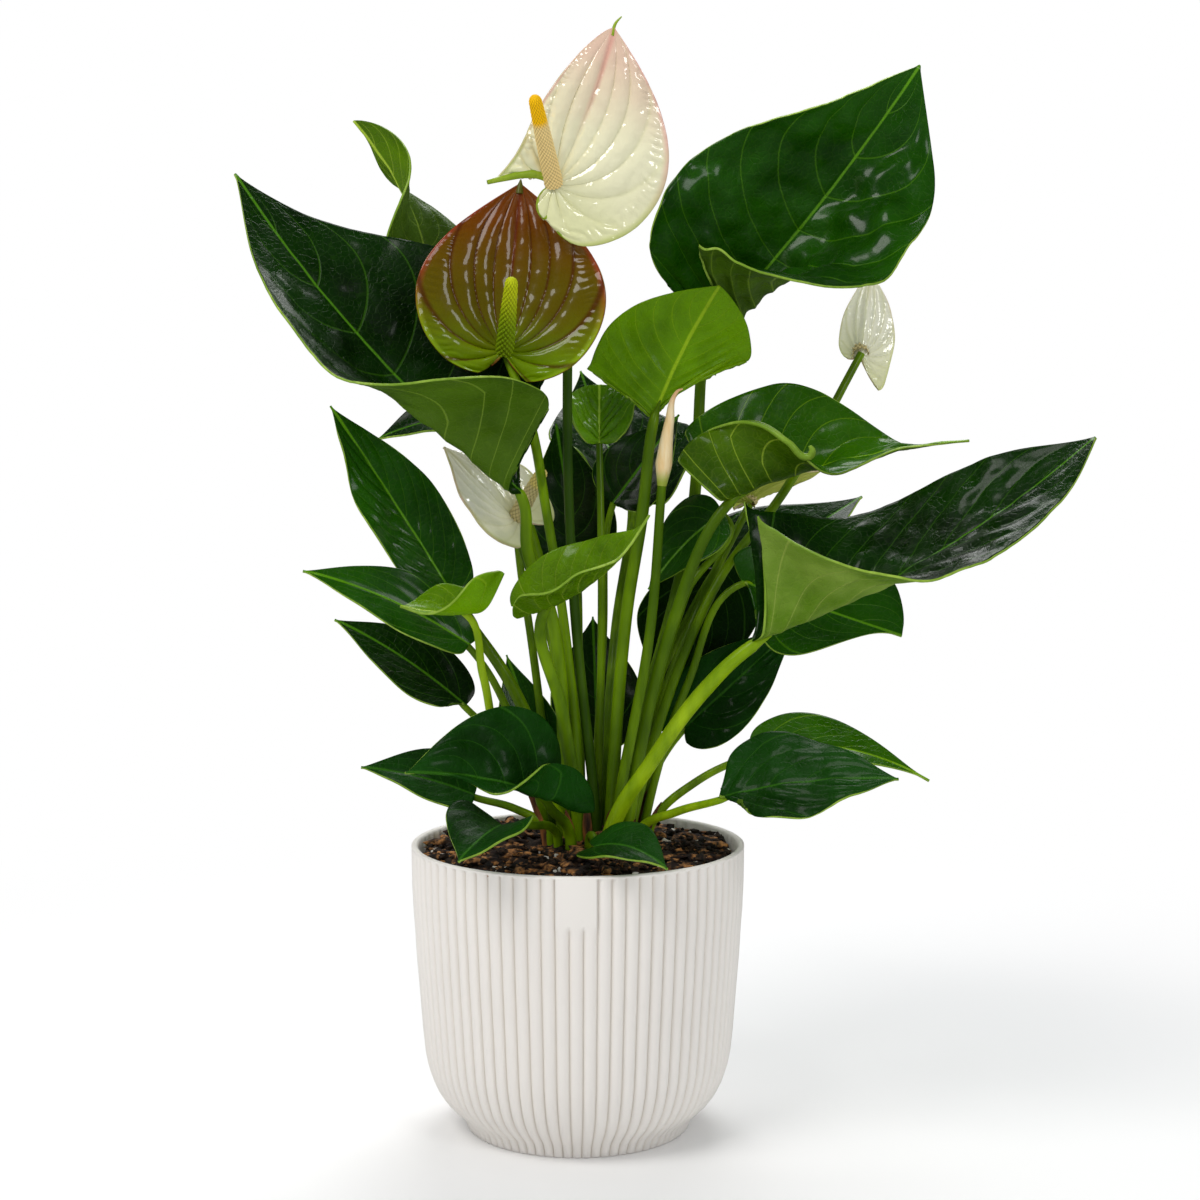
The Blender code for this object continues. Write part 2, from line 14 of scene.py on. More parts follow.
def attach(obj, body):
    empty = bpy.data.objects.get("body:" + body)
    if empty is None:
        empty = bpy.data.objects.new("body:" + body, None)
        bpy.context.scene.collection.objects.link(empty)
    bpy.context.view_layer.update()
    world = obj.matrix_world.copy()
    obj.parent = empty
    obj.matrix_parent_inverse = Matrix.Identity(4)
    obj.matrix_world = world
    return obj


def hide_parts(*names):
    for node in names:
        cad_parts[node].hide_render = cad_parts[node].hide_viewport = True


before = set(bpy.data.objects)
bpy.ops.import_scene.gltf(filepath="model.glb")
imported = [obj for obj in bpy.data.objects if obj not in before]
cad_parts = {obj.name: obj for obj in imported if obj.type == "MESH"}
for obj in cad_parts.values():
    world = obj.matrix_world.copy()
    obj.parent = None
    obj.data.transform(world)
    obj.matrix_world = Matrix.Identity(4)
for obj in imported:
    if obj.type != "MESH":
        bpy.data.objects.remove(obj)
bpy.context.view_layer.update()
MM = 0.001
scene = bpy.context.scene


# ---- Studio: the camera stands a little above the rim. A broad lamp from the upper left does
# most of the lighting, over a white floor that keeps the shadow.

camera = bpy.data.objects.new("camera", bpy.data.cameras.new("camera"))
camera.data.lens = 67.08
camera.data.sensor_width = 36.0
camera.location = (0.0093, -0.930, 0.308)
camera.rotation_euler = (math.radians(90 - 5.2), 0, 0)
scene.collection.objects.link(camera)
scene.camera = camera
scene.view_settings.view_transform = "Standard"

SMOOTH = {"interpolation_type": "SMOOTHSTEP"}        # Map Range: _1 to _2 becomes _3 to _4
TIMES = {"operation": "MULTIPLY"}
TIMES_PLUS = {"operation": "MULTIPLY_ADD"}


def hexa(code):
    """Linear colour of an sRGB hex code."""
    parts = [int(code[i:i + 2], 16) / 255 for i in (0, 2, 4)]
    return tuple(p / 12.92 if p <= 0.04045 else ((p + 0.055) / 1.055) ** 2.4 for p in parts) + (1,)


def feed(tree, value, socket):
    """Give a socket a value or a hex colour, or link a socket or a node's own result to it."""
    if isinstance(value, bpy.types.Node):
        value = next(output for output in value.outputs if output.enabled)
    if isinstance(value, bpy.types.NodeSocket):
        tree.links.new(value, socket)
    else:
        socket.default_value = hexa(value) if isinstance(value, str) else value


def add(tree, kind, settings=None, **inputs):
    """Add one shader node, with what feeds its inputs, keyed by name or by _number."""
    made = tree.nodes.new("ShaderNode" + kind)
    for key, value in (settings or {}).items():
        setattr(made, key, value)
    for key, value in inputs.items():
        feed(tree, value, made.inputs[int(key[1:]) if key[0] == "_" else key.replace("_", " ")])
    return made


# The world is white to the camera, a soft sky to the plant, and nearly dark in its gloss, so
# that dark leaves keep their colour between the lamps' highlights.
world = bpy.data.worlds.new("studio")
scene.world = world
world.use_nodes = True
world_tree = world.node_tree
world_tree.nodes.clear()
path = add(world_tree, "LightPath")
seen = add(world_tree, "Math", {"operation": "MAXIMUM"},
           _0=path.outputs["Is Camera Ray"], _1=path.outputs["Is Transmission Ray"])
ambient = add(world_tree, "Background", Color=(0.96, 0.98, 1.0, 1), Strength=0.5)
mirrored = add(world_tree, "Background", Color=(0.92, 0.96, 1.0, 1), Strength=0.04)
dimmed = add(world_tree, "MixShader", _0=path.outputs["Is Glossy Ray"], _1=ambient, _2=mirrored)
white = add(world_tree, "Background", Color=(1, 1, 1, 1), Strength=1.0)
backdrop = add(world_tree, "MixShader", _0=seen, _1=dimmed, _2=white)
add(world_tree, "OutputWorld", Surface=backdrop)


def area_light(name, place, aim, size, power, colour=(1, 1, 1)):
    """A round soft lamp that points at a place; sizes in metres, power in watts."""
    lamp = bpy.data.lights.new(name, "AREA")
    lamp.shape = "DISK"
    lamp.size = size
    lamp.energy = power
    lamp.color = colour
    obj = bpy.data.objects.new(name, lamp)
    obj.location = place
    obj.rotation_euler = (Vector(aim) - Vector(place)).to_track_quat("-Z", "Y").to_euler()
    scene.collection.objects.link(obj)


area_light("key", (-0.75, -0.75, 1.45), (0.02, 0, 0.25), 0.85, 11, (1.0, 0.98, 0.95))
area_light("fill", (0.75, -1.1, 0.95), (0, 0, 0.3), 0.45, 2.7)
area_light("top", (0.1, 0.75, 1.3), (0, 0, 0.25), 0.8, 9)

floor_mesh = bpy.data.meshes.new("floor")
bm = bmesh.new()
bmesh.ops.create_grid(bm, x_segments=2, y_segments=2, size=6.0)
bm.to_mesh(floor_mesh)
bm.free()
floor = bpy.data.objects.new("floor", floor_mesh)
scene.collection.objects.link(floor)

# White card that fades to the backdrop's own white away from the pot, and is dim in gloss.
floor_mat = bpy.data.materials.new("floor")
floor_mat.use_nodes = True
floor_tree = floor_mat.node_tree
floor_tree.nodes.clear()
place = add(floor_tree, "TexCoord").outputs["Object"]
spot = add(floor_tree, "VectorMath", {"operation": "LENGTH"}, _0=place)
away = add(floor_tree, "MapRange", SMOOTH, Value=spot, _1=0.2, _2=0.65)
glossy = add(floor_tree, "LightPath").outputs["Is Glossy Ray"]
dim = add(floor_tree, "Math", TIMES_PLUS, _0=glossy, _1=-0.93, _2=1.0)
grey = add(floor_tree, "Math", TIMES, _0=dim, _1=0.94)
tone = add(floor_tree, "CombineColor", Red=grey, Green=grey, Blue=grey)
card = add(floor_tree, "BsdfDiffuse", Color=tone)
glow = add(floor_tree, "Emission", Color=(1, 1, 1, 1), Strength=dim)
add(floor_tree, "OutputMaterial",
    Surface=add(floor_tree, "MixShader", _0=away, _1=card, _2=glow))
floor_mesh.materials.append(floor_mat)


# ---- Pot: a cover pot moulded in one piece. Convex ribs with narrow grooves between them run
# from the foot to just under the thin smooth rim; three ribs stop short at the front, where
# they leave a bare panel.

BLEND = {"data_type": "RGBA"}                        # Mix: _0 is the share of colour _7 over _6


def principled(name):
    """A new material and its tree, with a Principled shader in it."""
    mat = bpy.data.materials.new(name)
    mat.use_nodes = True
    return mat, mat.node_tree


def surface(tree, **inputs):
    """Feed the tree's Principled shader, keyed by the names of its inputs."""
    for key, value in inputs.items():
        feed(tree, value, tree.nodes["Principled BSDF"].inputs[key.replace("_", " ")])


def mottle(tree, scale, detail=3.0, stretch=(1, 1, 1)):
    """Noise on object coordinates: a scale of 1000 makes marks about 1 mm across."""
    place = add(tree, "Mapping", Vector=add(tree, "TexCoord").outputs["Object"], Scale=stretch)
    return add(tree, "TexNoise", Vector=place, Scale=scale, Detail=detail)


def dress(name, shape, materials, node):
    """Make an object of a mesh or curve, let it stand for a CAD node and ride on the body."""
    for mat in materials:
        shape.materials.append(mat)
    piece = bpy.data.objects.new(name, shape)
    scene.collection.objects.link(piece)
    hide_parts(node)
    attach(piece, "root")
    return piece


def to_mesh(bm, name, smooth=True):
    """Write the finished shape to a new mesh."""
    for face in bm.faces:
        face.smooth = smooth
    mesh = bpy.data.meshes.new(name)
    bm.to_mesh(mesh)
    bm.free()
    return mesh


def close(bm):
    """Join the edges of a sheet that was wrapped round, and turn its faces outwards."""
    bmesh.ops.remove_doubles(bm, verts=bm.verts, dist=2e-6)
    bmesh.ops.recalc_face_normals(bm, faces=bm.faces)


# Moulded polypropylene from a finely blasted mould: warm off-white with a soft even sheen, and
# painted shade that darkens it down in the grooves. The grain, 0.1 mm on the real pot, is drawn
# 1 mm wide.
pot_plastic, tree = principled("pot_plastic_detail")
grain = mottle(tree, 900.0, 2.0)
cloud = mottle(tree, 14.0, 2.0)
# painted shade: the groove mask from the mesh darkens the colour towards e4dbd0 in each groove
deep = add(tree, "Attribute", {"attribute_name": "groove"}).outputs["Fac"]
tone = add(tree, "Mix", BLEND, _0=cloud, _6="f1ece6", _7="f7f3ee")
surface(tree, Base_Color=add(tree, "Mix", BLEND, _0=deep, _6=tone, _7="e4dbd0"),
        Roughness=add(tree, "MapRange", SMOOTH, Value=cloud, _1=0.3, _2=0.7, _3=0.42, _4=0.52),
        Normal=add(tree, "Bump", Strength=0.08, Distance=0.0002, Height=grain))

RIBS = 76
STEPS_PER_RIB = 10
PANEL_HALF = 1.45                   # half the width of the bare panel, in ribs
PANEL_FOOT, PANEL_FADE = 98.0, 2.5  # height where the panel's ribs start to end, and over how much
GROOVE_HALF = 0.08                  # half the width of a groove, in ribs
GROOVE_DEPTH, RIB_RISE = 0.3, 1.4   # a groove's own depth, and how far a rib stands out
OUTSIDE_ROWS = 32
# height, radius and how deep the grooves are there, from the middle of the base, up the
# outside, over the rim and down the inside
pot_profile = [(0.0, 0.0, 0), (0.0, 40.0, 0), (0.0, 46.4, 0.2), (0.5, 47.2, 0.8), (2.5, 47.9, 1),
               (5.2, 49.2, 1), (7.5, 51.3, 1), (9.8, 53.9, 1), (12.2, 56.2, 1), (14.8, 58.2, 1),
               (17.6, 59.9, 1), (20.6, 61.3, 1), (24.0, 62.5, 1), (28.0, 63.7, 1), (33.0, 64.7, 1),
               (43.0, 65.7, 1), (54.0, 66.5, 1), (64.0, 67.3, 1), (74.0, 68.1, 1), (85.0, 68.7, 1),
               (95.0, 69.4, 1), (98.5, 69.5, 1), (100.0, 69.6, 1), (101.5, 69.65, 1),
               (105.0, 69.8, 1), (112.0, 69.9, 1), (119.0, 69.95, 1), (119.6, 69.97, 0.75),
               (120.0, 69.98, 0.25), (120.3, 69.99, 0), (120.6, 69.95, 0), (120.88, 69.6, 0),
               (121.0, 69.1, 0), (121.0, 68.2, 0), (120.8, 67.6, 0), (120.0, 67.1, 0.1),
               (118.4, 66.7, 0.7), (115.0, 66.2, 1), (108.0, 65.2, 1), (60.0, 61.0, 1),
               (30.0, 59.0, 0), (4.0, 44.0, 0), (4.0, 0.0, 0)]
rows = len(pot_profile) - 1
bm = bmesh.new()
groove_shade_layer = bm.verts.layers.float.new("groove")
bmesh.ops.create_grid(bm, x_segments=RIBS * STEPS_PER_RIB, y_segments=rows, size=1.0)
for v in bm.verts:
    row = round((v.co.y + 1) / 2 * rows)
    turn = (v.co.x + 1) / 2 * RIBS
    height, radius, depth = pot_profile[row]
    off = abs(turn - round(turn))                    # 0 on a rib's middle, 0.5 in a groove
    outside = row < OUTSIDE_ROWS
    if outside and abs(math.remainder(turn, RIBS)) < PANEL_HALF and height > PANEL_FOOT:
        depth = max(0.0, 1 - (height - PANEL_FOOT) / PANEL_FADE)
    groove = math.exp(-((0.5 - off) / GROOVE_HALF) ** 2)
    cut = depth * (GROOVE_DEPTH * groove + RIB_RISE * (off / 0.5) ** 2)
    # the groove mask that carries the painted shade into the grooves
    v[groove_shade_layer] = groove * depth if outside else 0.0
    radius = max(radius - cut if outside else radius + 0.5 * cut, 0)
    angle = -math.pi / 2 + turn / RIBS * math.tau
    v.co = Vector((radius * math.cos(angle), radius * math.sin(angle), height)) * MM
close(bm)
dress("pot_shell", to_mesh(bm, "pot_shell"), [pot_plastic], "pot")


# ---- Soil: potting mix filled to just under the rim, as a mound with a rough top. Loose bark,
# peat crumbs and white perlite lie on it.

# Damp peat: nearly black, with brown crumbs of 2 mm and no gloss.
peat, tree = principled("peat_detail")
crumbs = mottle(tree, 420.0, 6.0)
patches = mottle(tree, 90.0)
brown = add(tree, "MapRange", SMOOTH, Value=crumbs, _1=0.38, _2=0.66)
tone = add(tree, "Mix", BLEND, _0=brown, _6="080402", _7="3e2917")
patch = add(tree, "MapRange", SMOOTH, Value=patches, _1=0.5, _2=0.68)
surface(tree, Base_Color=add(tree, "Mix", BLEND, _0=patch, _6=tone, _7="1c1008"), Roughness=0.9,
        Normal=add(tree, "Bump", Strength=0.9, Distance=0.0012, Height=crumbs))

SOIL_RADIUS, SOIL_TOP = 65.4, 120.5
SOIL_FLAT, SOIL_SLOPE = 30.0, 34.0  # how far out the top is flat, and how wide the slope is
SOIL_FALL, SOIL_LUMPS = 2.8, 2.8    # how far it falls to the wall, and the height of its lumps
SKIRT_TOP, SKIRT_DROP, SKIRT_IN = 116.0, 70.0, 6.0  # the side of the mound, inside the pot
TOP_SHARE = 0.9                     # share of the sheet's rows that lie on top


def soil_height(x, y):
    """Top of the soil: flat round the crown, falling to the wall, with a rough face."""
    radius = math.hypot(x, y)
    level = SOIL_TOP - max(0.0, (radius - SOIL_FLAT) / SOIL_SLOPE) ** 1.3 * SOIL_FALL
    return level + noise.fractal(Vector((x, y, 3.0)) * 0.12, 1.0, 2.0, 5) * SOIL_LUMPS


bm = bmesh.new()
bmesh.ops.create_grid(bm, x_segments=120, y_segments=44, size=1.0)
for v in bm.verts:
    angle, share = v.co.x * math.pi, (v.co.y + 1) / 2
    down = max(0.0, (share - TOP_SHARE) / (1 - TOP_SHARE))
    radius = SOIL_RADIUS * min(share / TOP_SHARE, 1.0) - SKIRT_IN * down
    x, y = radius * math.cos(angle), radius * math.sin(angle)
    z = soil_height(x, y) if share < TOP_SHARE else SKIRT_TOP - SKIRT_DROP * down
    v.co = Vector((x, y, z)) * MM
close(bm)
dress("soil_mound", to_mesh(bm, "soil_mound"), [peat], "soil")

# Chipped pine bark: rust to tan chips with dark fibres 2 mm apart, dry and dull.
bark, tree = principled("bark_chips")
fibres = mottle(tree, 500.0, 4.0)
tint = mottle(tree, 190.0, 1.0)
tan = add(tree, "MapRange", SMOOTH, Value=tint, _1=0.42, _2=0.62)
tone = add(tree, "Mix", BLEND, _0=tan, _6="2a1206", _7="cc8c4c")
worn = add(tree, "MapRange", SMOOTH, Value=fibres, _1=0.3, _2=0.7)
surface(tree, Base_Color=add(tree, "Mix", BLEND, _0=worn, _6="100703", _7=tone), Roughness=0.85,
        Normal=add(tree, "Bump", Strength=0.7, Distance=0.0006, Height=fibres))

# Perlite is popped volcanic glass: chalk white and dull, with pores of 1 mm.
perlite, tree = principled("perlite")
pores = mottle(tree, 800.0)
surface(tree, Base_Color=add(tree, "Mix", BLEND, _0=pores, _6="c9c2b4", _7="f4f1ea"), Roughness=0.8,
        Normal=add(tree, "Bump", Strength=0.5, Distance=0.0004, Height=pores))


def scatter(name, count, sizes, shape, mat, seed, spread=(24.0, 63.5)):
    """Strew lumps over the soil; shape is each lump's proportions along, across and up."""
    draw = random.Random(seed)
    bm = bmesh.new()
    for _ in range(count):
        radius = math.sqrt(draw.uniform(spread[0] ** 2, spread[1] ** 2))
        angle = draw.uniform(0, math.tau)
        x, y = radius * math.cos(angle), radius * math.sin(angle)
        size = draw.uniform(*sizes)
        made = bmesh.ops.create_icosphere(bm, subdivisions=1, radius=size * MM)
        turn = Matrix.Rotation(draw.uniform(0, math.tau), 4, "Z")
        tilt = Matrix.Rotation(draw.uniform(-0.6, 0.6), 4, "X")
        place = Matrix.Translation(Vector((x, y, soil_height(x, y) + size * 0.25)) * MM)
        stretch = [s * draw.uniform(0.7, 1.3) for s in shape]
        for v in made["verts"]:
            v.co = v.co * draw.uniform(0.75, 1.2)
        bmesh.ops.transform(bm, verts=made["verts"],
                            matrix=place @ turn @ tilt @ Matrix.Diagonal((*stretch, 1)))
    dress(name, to_mesh(bm, name, smooth=False), [mat], "soil")


scatter("bark_flakes", 340, (1.6, 3.6), (2.0, 0.7, 0.5), bark, 3)
scatter("bark_slivers", 300, (0.8, 1.7), (4.0, 0.5, 0.4), bark, 4)
scatter("peat_crumbs", 900, (0.7, 2.2), (1.1, 1.0, 0.8), peat, 5)
scatter("perlite_grains", 150, (0.6, 1.5), (1.8, 0.9, 0.7), perlite, 8)


# ---- Leaves: each blade is one heart-shaped sheet of living tissue, folded along a curved
# midrib, puckered between its side veins and edged by a thin light rim. It grows on a round
# stalk that swells where it leaves the crown and narrows to slip under the blade.

def ease(t):
    t = min(max(t, 0.0), 1.0)
    return t * t * (3 - 2 * t)


class Blade:
    """A folded heart-shaped leaf or spathe on a curved midrib. Pairs are for left and right.

    base, tip and bow: the midrib's ends, and how far its middle is pulled aside
    half, lobe, belly, root and point: the outline's half widths, how far a lobe reaches back
        and where it is widest as shares of the length, and its shape at the base and the tip
    faces and twist: which way the upper side looks, and how many degrees that turns
    left, right and crease: degrees of fold at base, middle and tip, and the share of the half
        width that the fold is spread over
    """

    def __init__(self, base, tip, bow=(0, 0, 0), half=(30, 30), lobe=(0.2, 0.2),
                 faces=(0, 0, 1), left=(30, 20, 20), right=(30, 20, 20), twist=0,
                 crease=0.35, belly=0.22, point=1.2, root=(0.3, 0.3)):
        self.base, self.tip = Vector(base), Vector(tip)
        self.pull = (self.base + self.tip) / 2 + 2 * Vector(bow)
        self.half, self.lobe, self.twist, self.crease = half, lobe, twist, crease
        self.point = point if isinstance(point, tuple) else (point, point)
        self.belly = belly if isinstance(belly, tuple) else (belly, belly)
        self.root, self.folds = root, (left, right)
        self.bulge = 0.0            # mm that the right lobe's rear bulges in, and rounds its corner
        self.arch = 0.0             # mm that the left lobe's rear edge arches in
        count = 40                  # steps along the midrib
        self.spots = [self.bezier(i / count) for i in range(count + 1)]
        self.ways = [self.slope(i / count) for i in range(count + 1)]
        self.run = [0.0]
        for a, b in zip(self.spots, self.spots[1:]):
            self.run.append(self.run[-1] + (b - a).length)
        self.length = self.run[-1]
        self.ups = [None] * (count + 1)
        middle = count // 2
        self.ups[middle] = self.square(Vector(faces), self.ways[middle])
        for i in range(middle + 1, count + 1):
            self.ups[i] = self.square(self.ups[i - 1], self.ways[i])
        for i in range(middle - 1, -1, -1):
            self.ups[i] = self.square(self.ups[i + 1], self.ways[i])

    @staticmethod
    def square(up, way):
        return (up - way * up.dot(way)).normalized()

    def bezier(self, t):
        return self.base * (1 - t) ** 2 + self.pull * 2 * t * (1 - t) + self.tip * t * t

    def slope(self, t):
        return ((self.pull - self.base) * (1 - t) + (self.tip - self.pull) * t).normalized()

    def frame(self, share):
        """Point, direction, up and right of the midrib at a share of its length."""
        goal = min(max(share, 0.0), 1.0) * self.length
        i = 0
        while i < len(self.run) - 2 and self.run[i + 1] < goal:
            i += 1
        mix = (goal - self.run[i]) / (self.run[i + 1] - self.run[i])
        spot = self.spots[i].lerp(self.spots[i + 1], mix)
        way = self.ways[i].lerp(self.ways[i + 1], mix).normalized()
        up = self.square(self.ups[i].lerp(self.ups[i + 1], mix), way)
        up = Matrix.Rotation(math.radians(self.twist) * (share - 0.5), 3, way) @ up
        if share < 0:
            spot = spot + way * share * self.length
        return spot, way, up, way.cross(up)

    def edge(self, s, side):
        """The heart outline: share of length and share of half width for row s."""
        round_part, belly, root = 0.42, self.belly[side], self.root[side]
        if s < round_part:
            t = math.pi / 2 * s / round_part
            return (belly - (belly + self.lobe[side]) * math.cos(t),
                    root + (1 - root) * math.sin(t))
        v = (s - round_part) / (1 - round_part)
        return belly + (1 - belly) * v, max(math.cos(math.pi / 2 * v), 0.0) ** self.point[side]

    def flat(self, s, u):
        """Place on the blade laid flat, in mm: along the midrib and out from it."""
        q, side = abs(u), (1 if u > 0 else 0)
        along, out = self.edge(s, side)
        width = self.half[side]
        reach = max(out, 0.4 / width) * width * q ** (1 + 0.5 * max(0.0, 1 - s / 0.3))
        along = (s ** 1.6 + (along - s ** 1.6) * q) * self.length
        if side:
            reach -= self.bulge * math.sin(math.pi * min(q * 1.3, 1.0)) * max(0.0, 1 - s / 0.12)
            corner = max(0.0, q - 0.5) * 2 * max(0.0, 1 - s / 0.16)
            along += self.bulge * 2.6 * corner ** 2
        else:
            along += self.arch * math.sin(math.pi * q) * max(0.0, 1 - s / 0.25)
        return along, reach

    def at(self, s, u):
        """A point of the blade: s runs from base to tip, u from the left edge to the right."""
        side = 1 if u > 0 else 0
        along, reach = self.flat(s, u)
        share, width = along / self.length, self.half[side]
        spot, _, up, right = self.frame(share)
        base, middle, tip = self.folds[side]
        if share < 0.5:
            fold = base + (middle - base) * ease(share / 0.5)
        else:
            fold = middle + (tip - middle) * ease((share - 0.5) / 0.5)
        fold = math.radians(fold)
        bend = self.crease * width
        if abs(fold) < 1e-4:
            x, z = reach, 0.0
        else:
            k = fold / bend
            turned_by = k * min(reach, bend)
            x, z = math.sin(turned_by) / k, (1 - math.cos(turned_by)) / k
            if reach > bend:
                x += (reach - bend) * math.cos(fold)
                z += (reach - bend) * math.sin(fold)
        return spot + right * (x if side else -x) + up * z


def side_vein(s, q, veins):
    """Number of side veins passed at a place: veins sweep forward on their way to the edge,
    more so where there are few."""
    sweep = (0.08 * q + 0.13 * q * q) * (10 / veins) ** 1.6
    start = s / (1 + sweep / 0.16)
    if start > 0.16:
        start = s - sweep
    return max(start, 0.0) ** 0.9 * veins


ARC_STEP = 0.42                     # radians between two arched veins at the spathe's base
UV_MM = 100.0                       # length on the flat blade that makes one unit of UV map flat
CHANNEL_DEPTH, CHANNEL_HALF = 0.5, 1.3  # the channel along the midrib


def arc_vein(blade, along, reach):
    """Number of arched veins passed: each is an arc from the spathe's base to its tip."""
    from_base, to_tip = Vector((along, reach)), Vector((blade.length - along, -reach))
    if from_base.length < 0.4 or to_tip.length < 0.4:
        return 0.0
    turned = from_base.dot(-to_tip) / (from_base.length * to_tip.length)
    return (math.pi - math.acos(max(-1.0, min(1.0, turned)))) / ARC_STEP


def leaf_mesh(name, blade, rows, columns, pucker, wave, arched=False, seed=1, veins=10):
    """The sheet with its relief: tissue swells between the veins, a channel runs along the
    midrib, and the margin waves. UV map veins holds the number of veins passed and the place
    across; UV map flat holds the place on the blade laid flat."""
    bm = bmesh.new()
    bmesh.ops.create_grid(bm, x_segments=columns, y_segments=rows, size=1.0)
    marked, flats = bm.loops.layers.uv.new("veins"), bm.loops.layers.uv.new("flat")
    places = {}
    for v in bm.verts:
        s, u = (v.co.y + 1) / 2, v.co.x
        places[v] = s, u
        v.co = blade.at(s, u) * MM
    bm.normal_update()
    marks = {}
    for v, (s, u) in places.items():
        q = abs(u)
        along, reach = blade.flat(s, u)
        across = math.copysign(reach, u)
        count = arc_vein(blade, along, reach) if arched else side_vein(s, q, veins)
        marks[v] = (count, 0.5 + u / 2), (along / UV_MM, across / UV_MM)
        swell = abs(math.sin(math.pi * count)) ** (0.65 if arched else 0.8)
        swell *= math.sin(math.pi * min(q * 1.08, 1.0)) ** 0.7
        fade = ease((1 - s) * 4)
        ripple = math.sin(s * 17 + seed + (2.0 if u > 0 else 0)) * q ** 3 * fade
        broad = noise.noise(Vector((along * 0.09, across * 0.09, seed)))
        small = noise.noise(Vector((along * 0.28, across * 0.28, seed + 5)))
        if arched:                  # short wrinkles stand in a row along the margin
            small += 1.5 * math.exp(-((q - 0.85) / 0.07) ** 2) * math.sin(along * 2.1 + 9 * broad)
            uneven = 0.4 * broad + 0.25 * wave * small
        else:                       # a leaf is puckered more in some places than in others
            swell *= 0.4 + 1.2 * max(0.0, 0.4 + broad)
            uneven = 0.7 * broad + 0.2 * small
        lift = wave * ripple * ease(s * 5) + pucker * fade * (swell + uneven)
        channel = -CHANNEL_DEPTH * math.exp(-(reach / CHANNEL_HALF) ** 2) * fade
        v.co += v.normal * (lift + channel) * MM
    for face in bm.faces:
        for loop in face.loops:
            loop[marked].uv, loop[flats].uv = marks[loop.vert]
    return to_mesh(bm, name)


def leaf_surface(name, deep, light, vein, rough, vein_strength=0.4, coat=0.3):
    """Leaf skin: cloudy green under a thin uneven wax, which gives broad soft highlights. The
    side veins and midrib are light lines. The net of the finest veins, under 1 mm on a real
    leaf, is drawn as cells of 3 mm, and the pores' grain as marks of 2 mm."""
    mat, tree = principled(name)
    mark = add(tree, "SeparateXYZ", Vector=add(tree, "UVMap", {"uv_map": "veins"}))
    place = add(tree, "UVMap", {"uv_map": "flat"})
    spot = add(tree, "SeparateXYZ", Vector=place)
    from_vein = add(tree, "Math", {"operation": "PINGPONG"}, _0=mark.outputs[0], _1=0.5)
    from_rib = add(tree, "Math", {"operation": "ABSOLUTE"}, _0=spot.outputs[1])
    cells = add(tree, "TexVoronoi", {"feature": "DISTANCE_TO_EDGE"}, Vector=place, Scale=36.0,
                Randomness=1.0)
    line, halo, rib, middle, net = (
        add(tree, "MapRange", SMOOTH, Value=distance, _1=near, _2=far, _3=1.0, _4=0.0)
        for distance, near, far in ((from_vein, 0.01, 0.035), (from_vein, 0.0, 0.25),
                                    (from_rib, 0.003, 0.009), (from_rib, 0.0, 0.12),
                                    (cells, 0.0, 0.1)))
    blotch = add(tree, "TexNoise", Vector=place, Scale=2.6, Detail=3.0)
    dapple = add(tree, "TexNoise", Vector=place, Scale=11.0, Detail=3.0)
    fine = add(tree, "TexNoise", Vector=place, Scale=60.0, Detail=4.0)
    cloud = add(tree, "MapRange", SMOOTH, Value=blotch, _1=0.32, _2=0.68)
    skin = add(tree, "Mix", BLEND, _0=cloud, _6=deep, _7=light)
    for part, strength, colour in ((middle, 0.3, light), (halo, 0.18, light), (net, 0.05, vein),
                                   (line, vein_strength, vein), (rib, 0.9, vein)):
        share = add(tree, "Math", TIMES, _0=part, _1=strength)
        skin = add(tree, "Mix", BLEND, _0=share, _6=skin, _7=colour)
    relief = add(tree, "Math", TIMES, _0=dapple, _1=3.0)
    for part, height in ((line, -1.0), (net, -0.3), (fine, 0.5)):
        relief = add(tree, "Math", TIMES_PLUS, _0=part, _1=height, _2=relief)
    wax = add(tree, "MapRange", SMOOTH, Value=dapple, _1=0.35, _2=0.65, _3=rough, _4=rough + 0.16)
    surface(tree, Base_Color=skin, Roughness=wax, Specular_IOR_Level=0.08, Coat_Weight=coat,
            Coat_Roughness=0.17,
            Normal=add(tree, "Bump", Strength=0.5, Distance=0.0008, Height=relief))
    return mat


def plain_skin(name, dark, light, rough, scale=40.0):
    """Skin of stalks and rims: soft mottling, darker streaks along the stalk, a thin wax."""
    mat, tree = principled(name)
    cloud = add(tree, "MapRange", SMOOTH, Value=mottle(tree, scale), _1=0.3, _2=0.7)
    streak = mottle(tree, scale * 10, stretch=(1, 1, 0.12))
    tone = add(tree, "Mix", BLEND, _0=cloud, _6=dark, _7=light)
    streaks = add(tree, "MapRange", SMOOTH, Value=streak, _1=0.35, _2=0.65, _4=0.6)
    wax = add(tree, "MapRange", SMOOTH, Value=streak, _1=0.2, _2=0.8, _3=rough, _4=rough + 0.12)
    surface(tree, Base_Color=add(tree, "Mix", BLEND, _0=streaks, _6=tone, _7=dark),
            Roughness=wax, Specular_IOR_Level=0.15, Coat_Weight=0.2, Coat_Roughness=0.15,
            Normal=add(tree, "Bump", Strength=0.25, Distance=0.0003, Height=streak))
    return mat


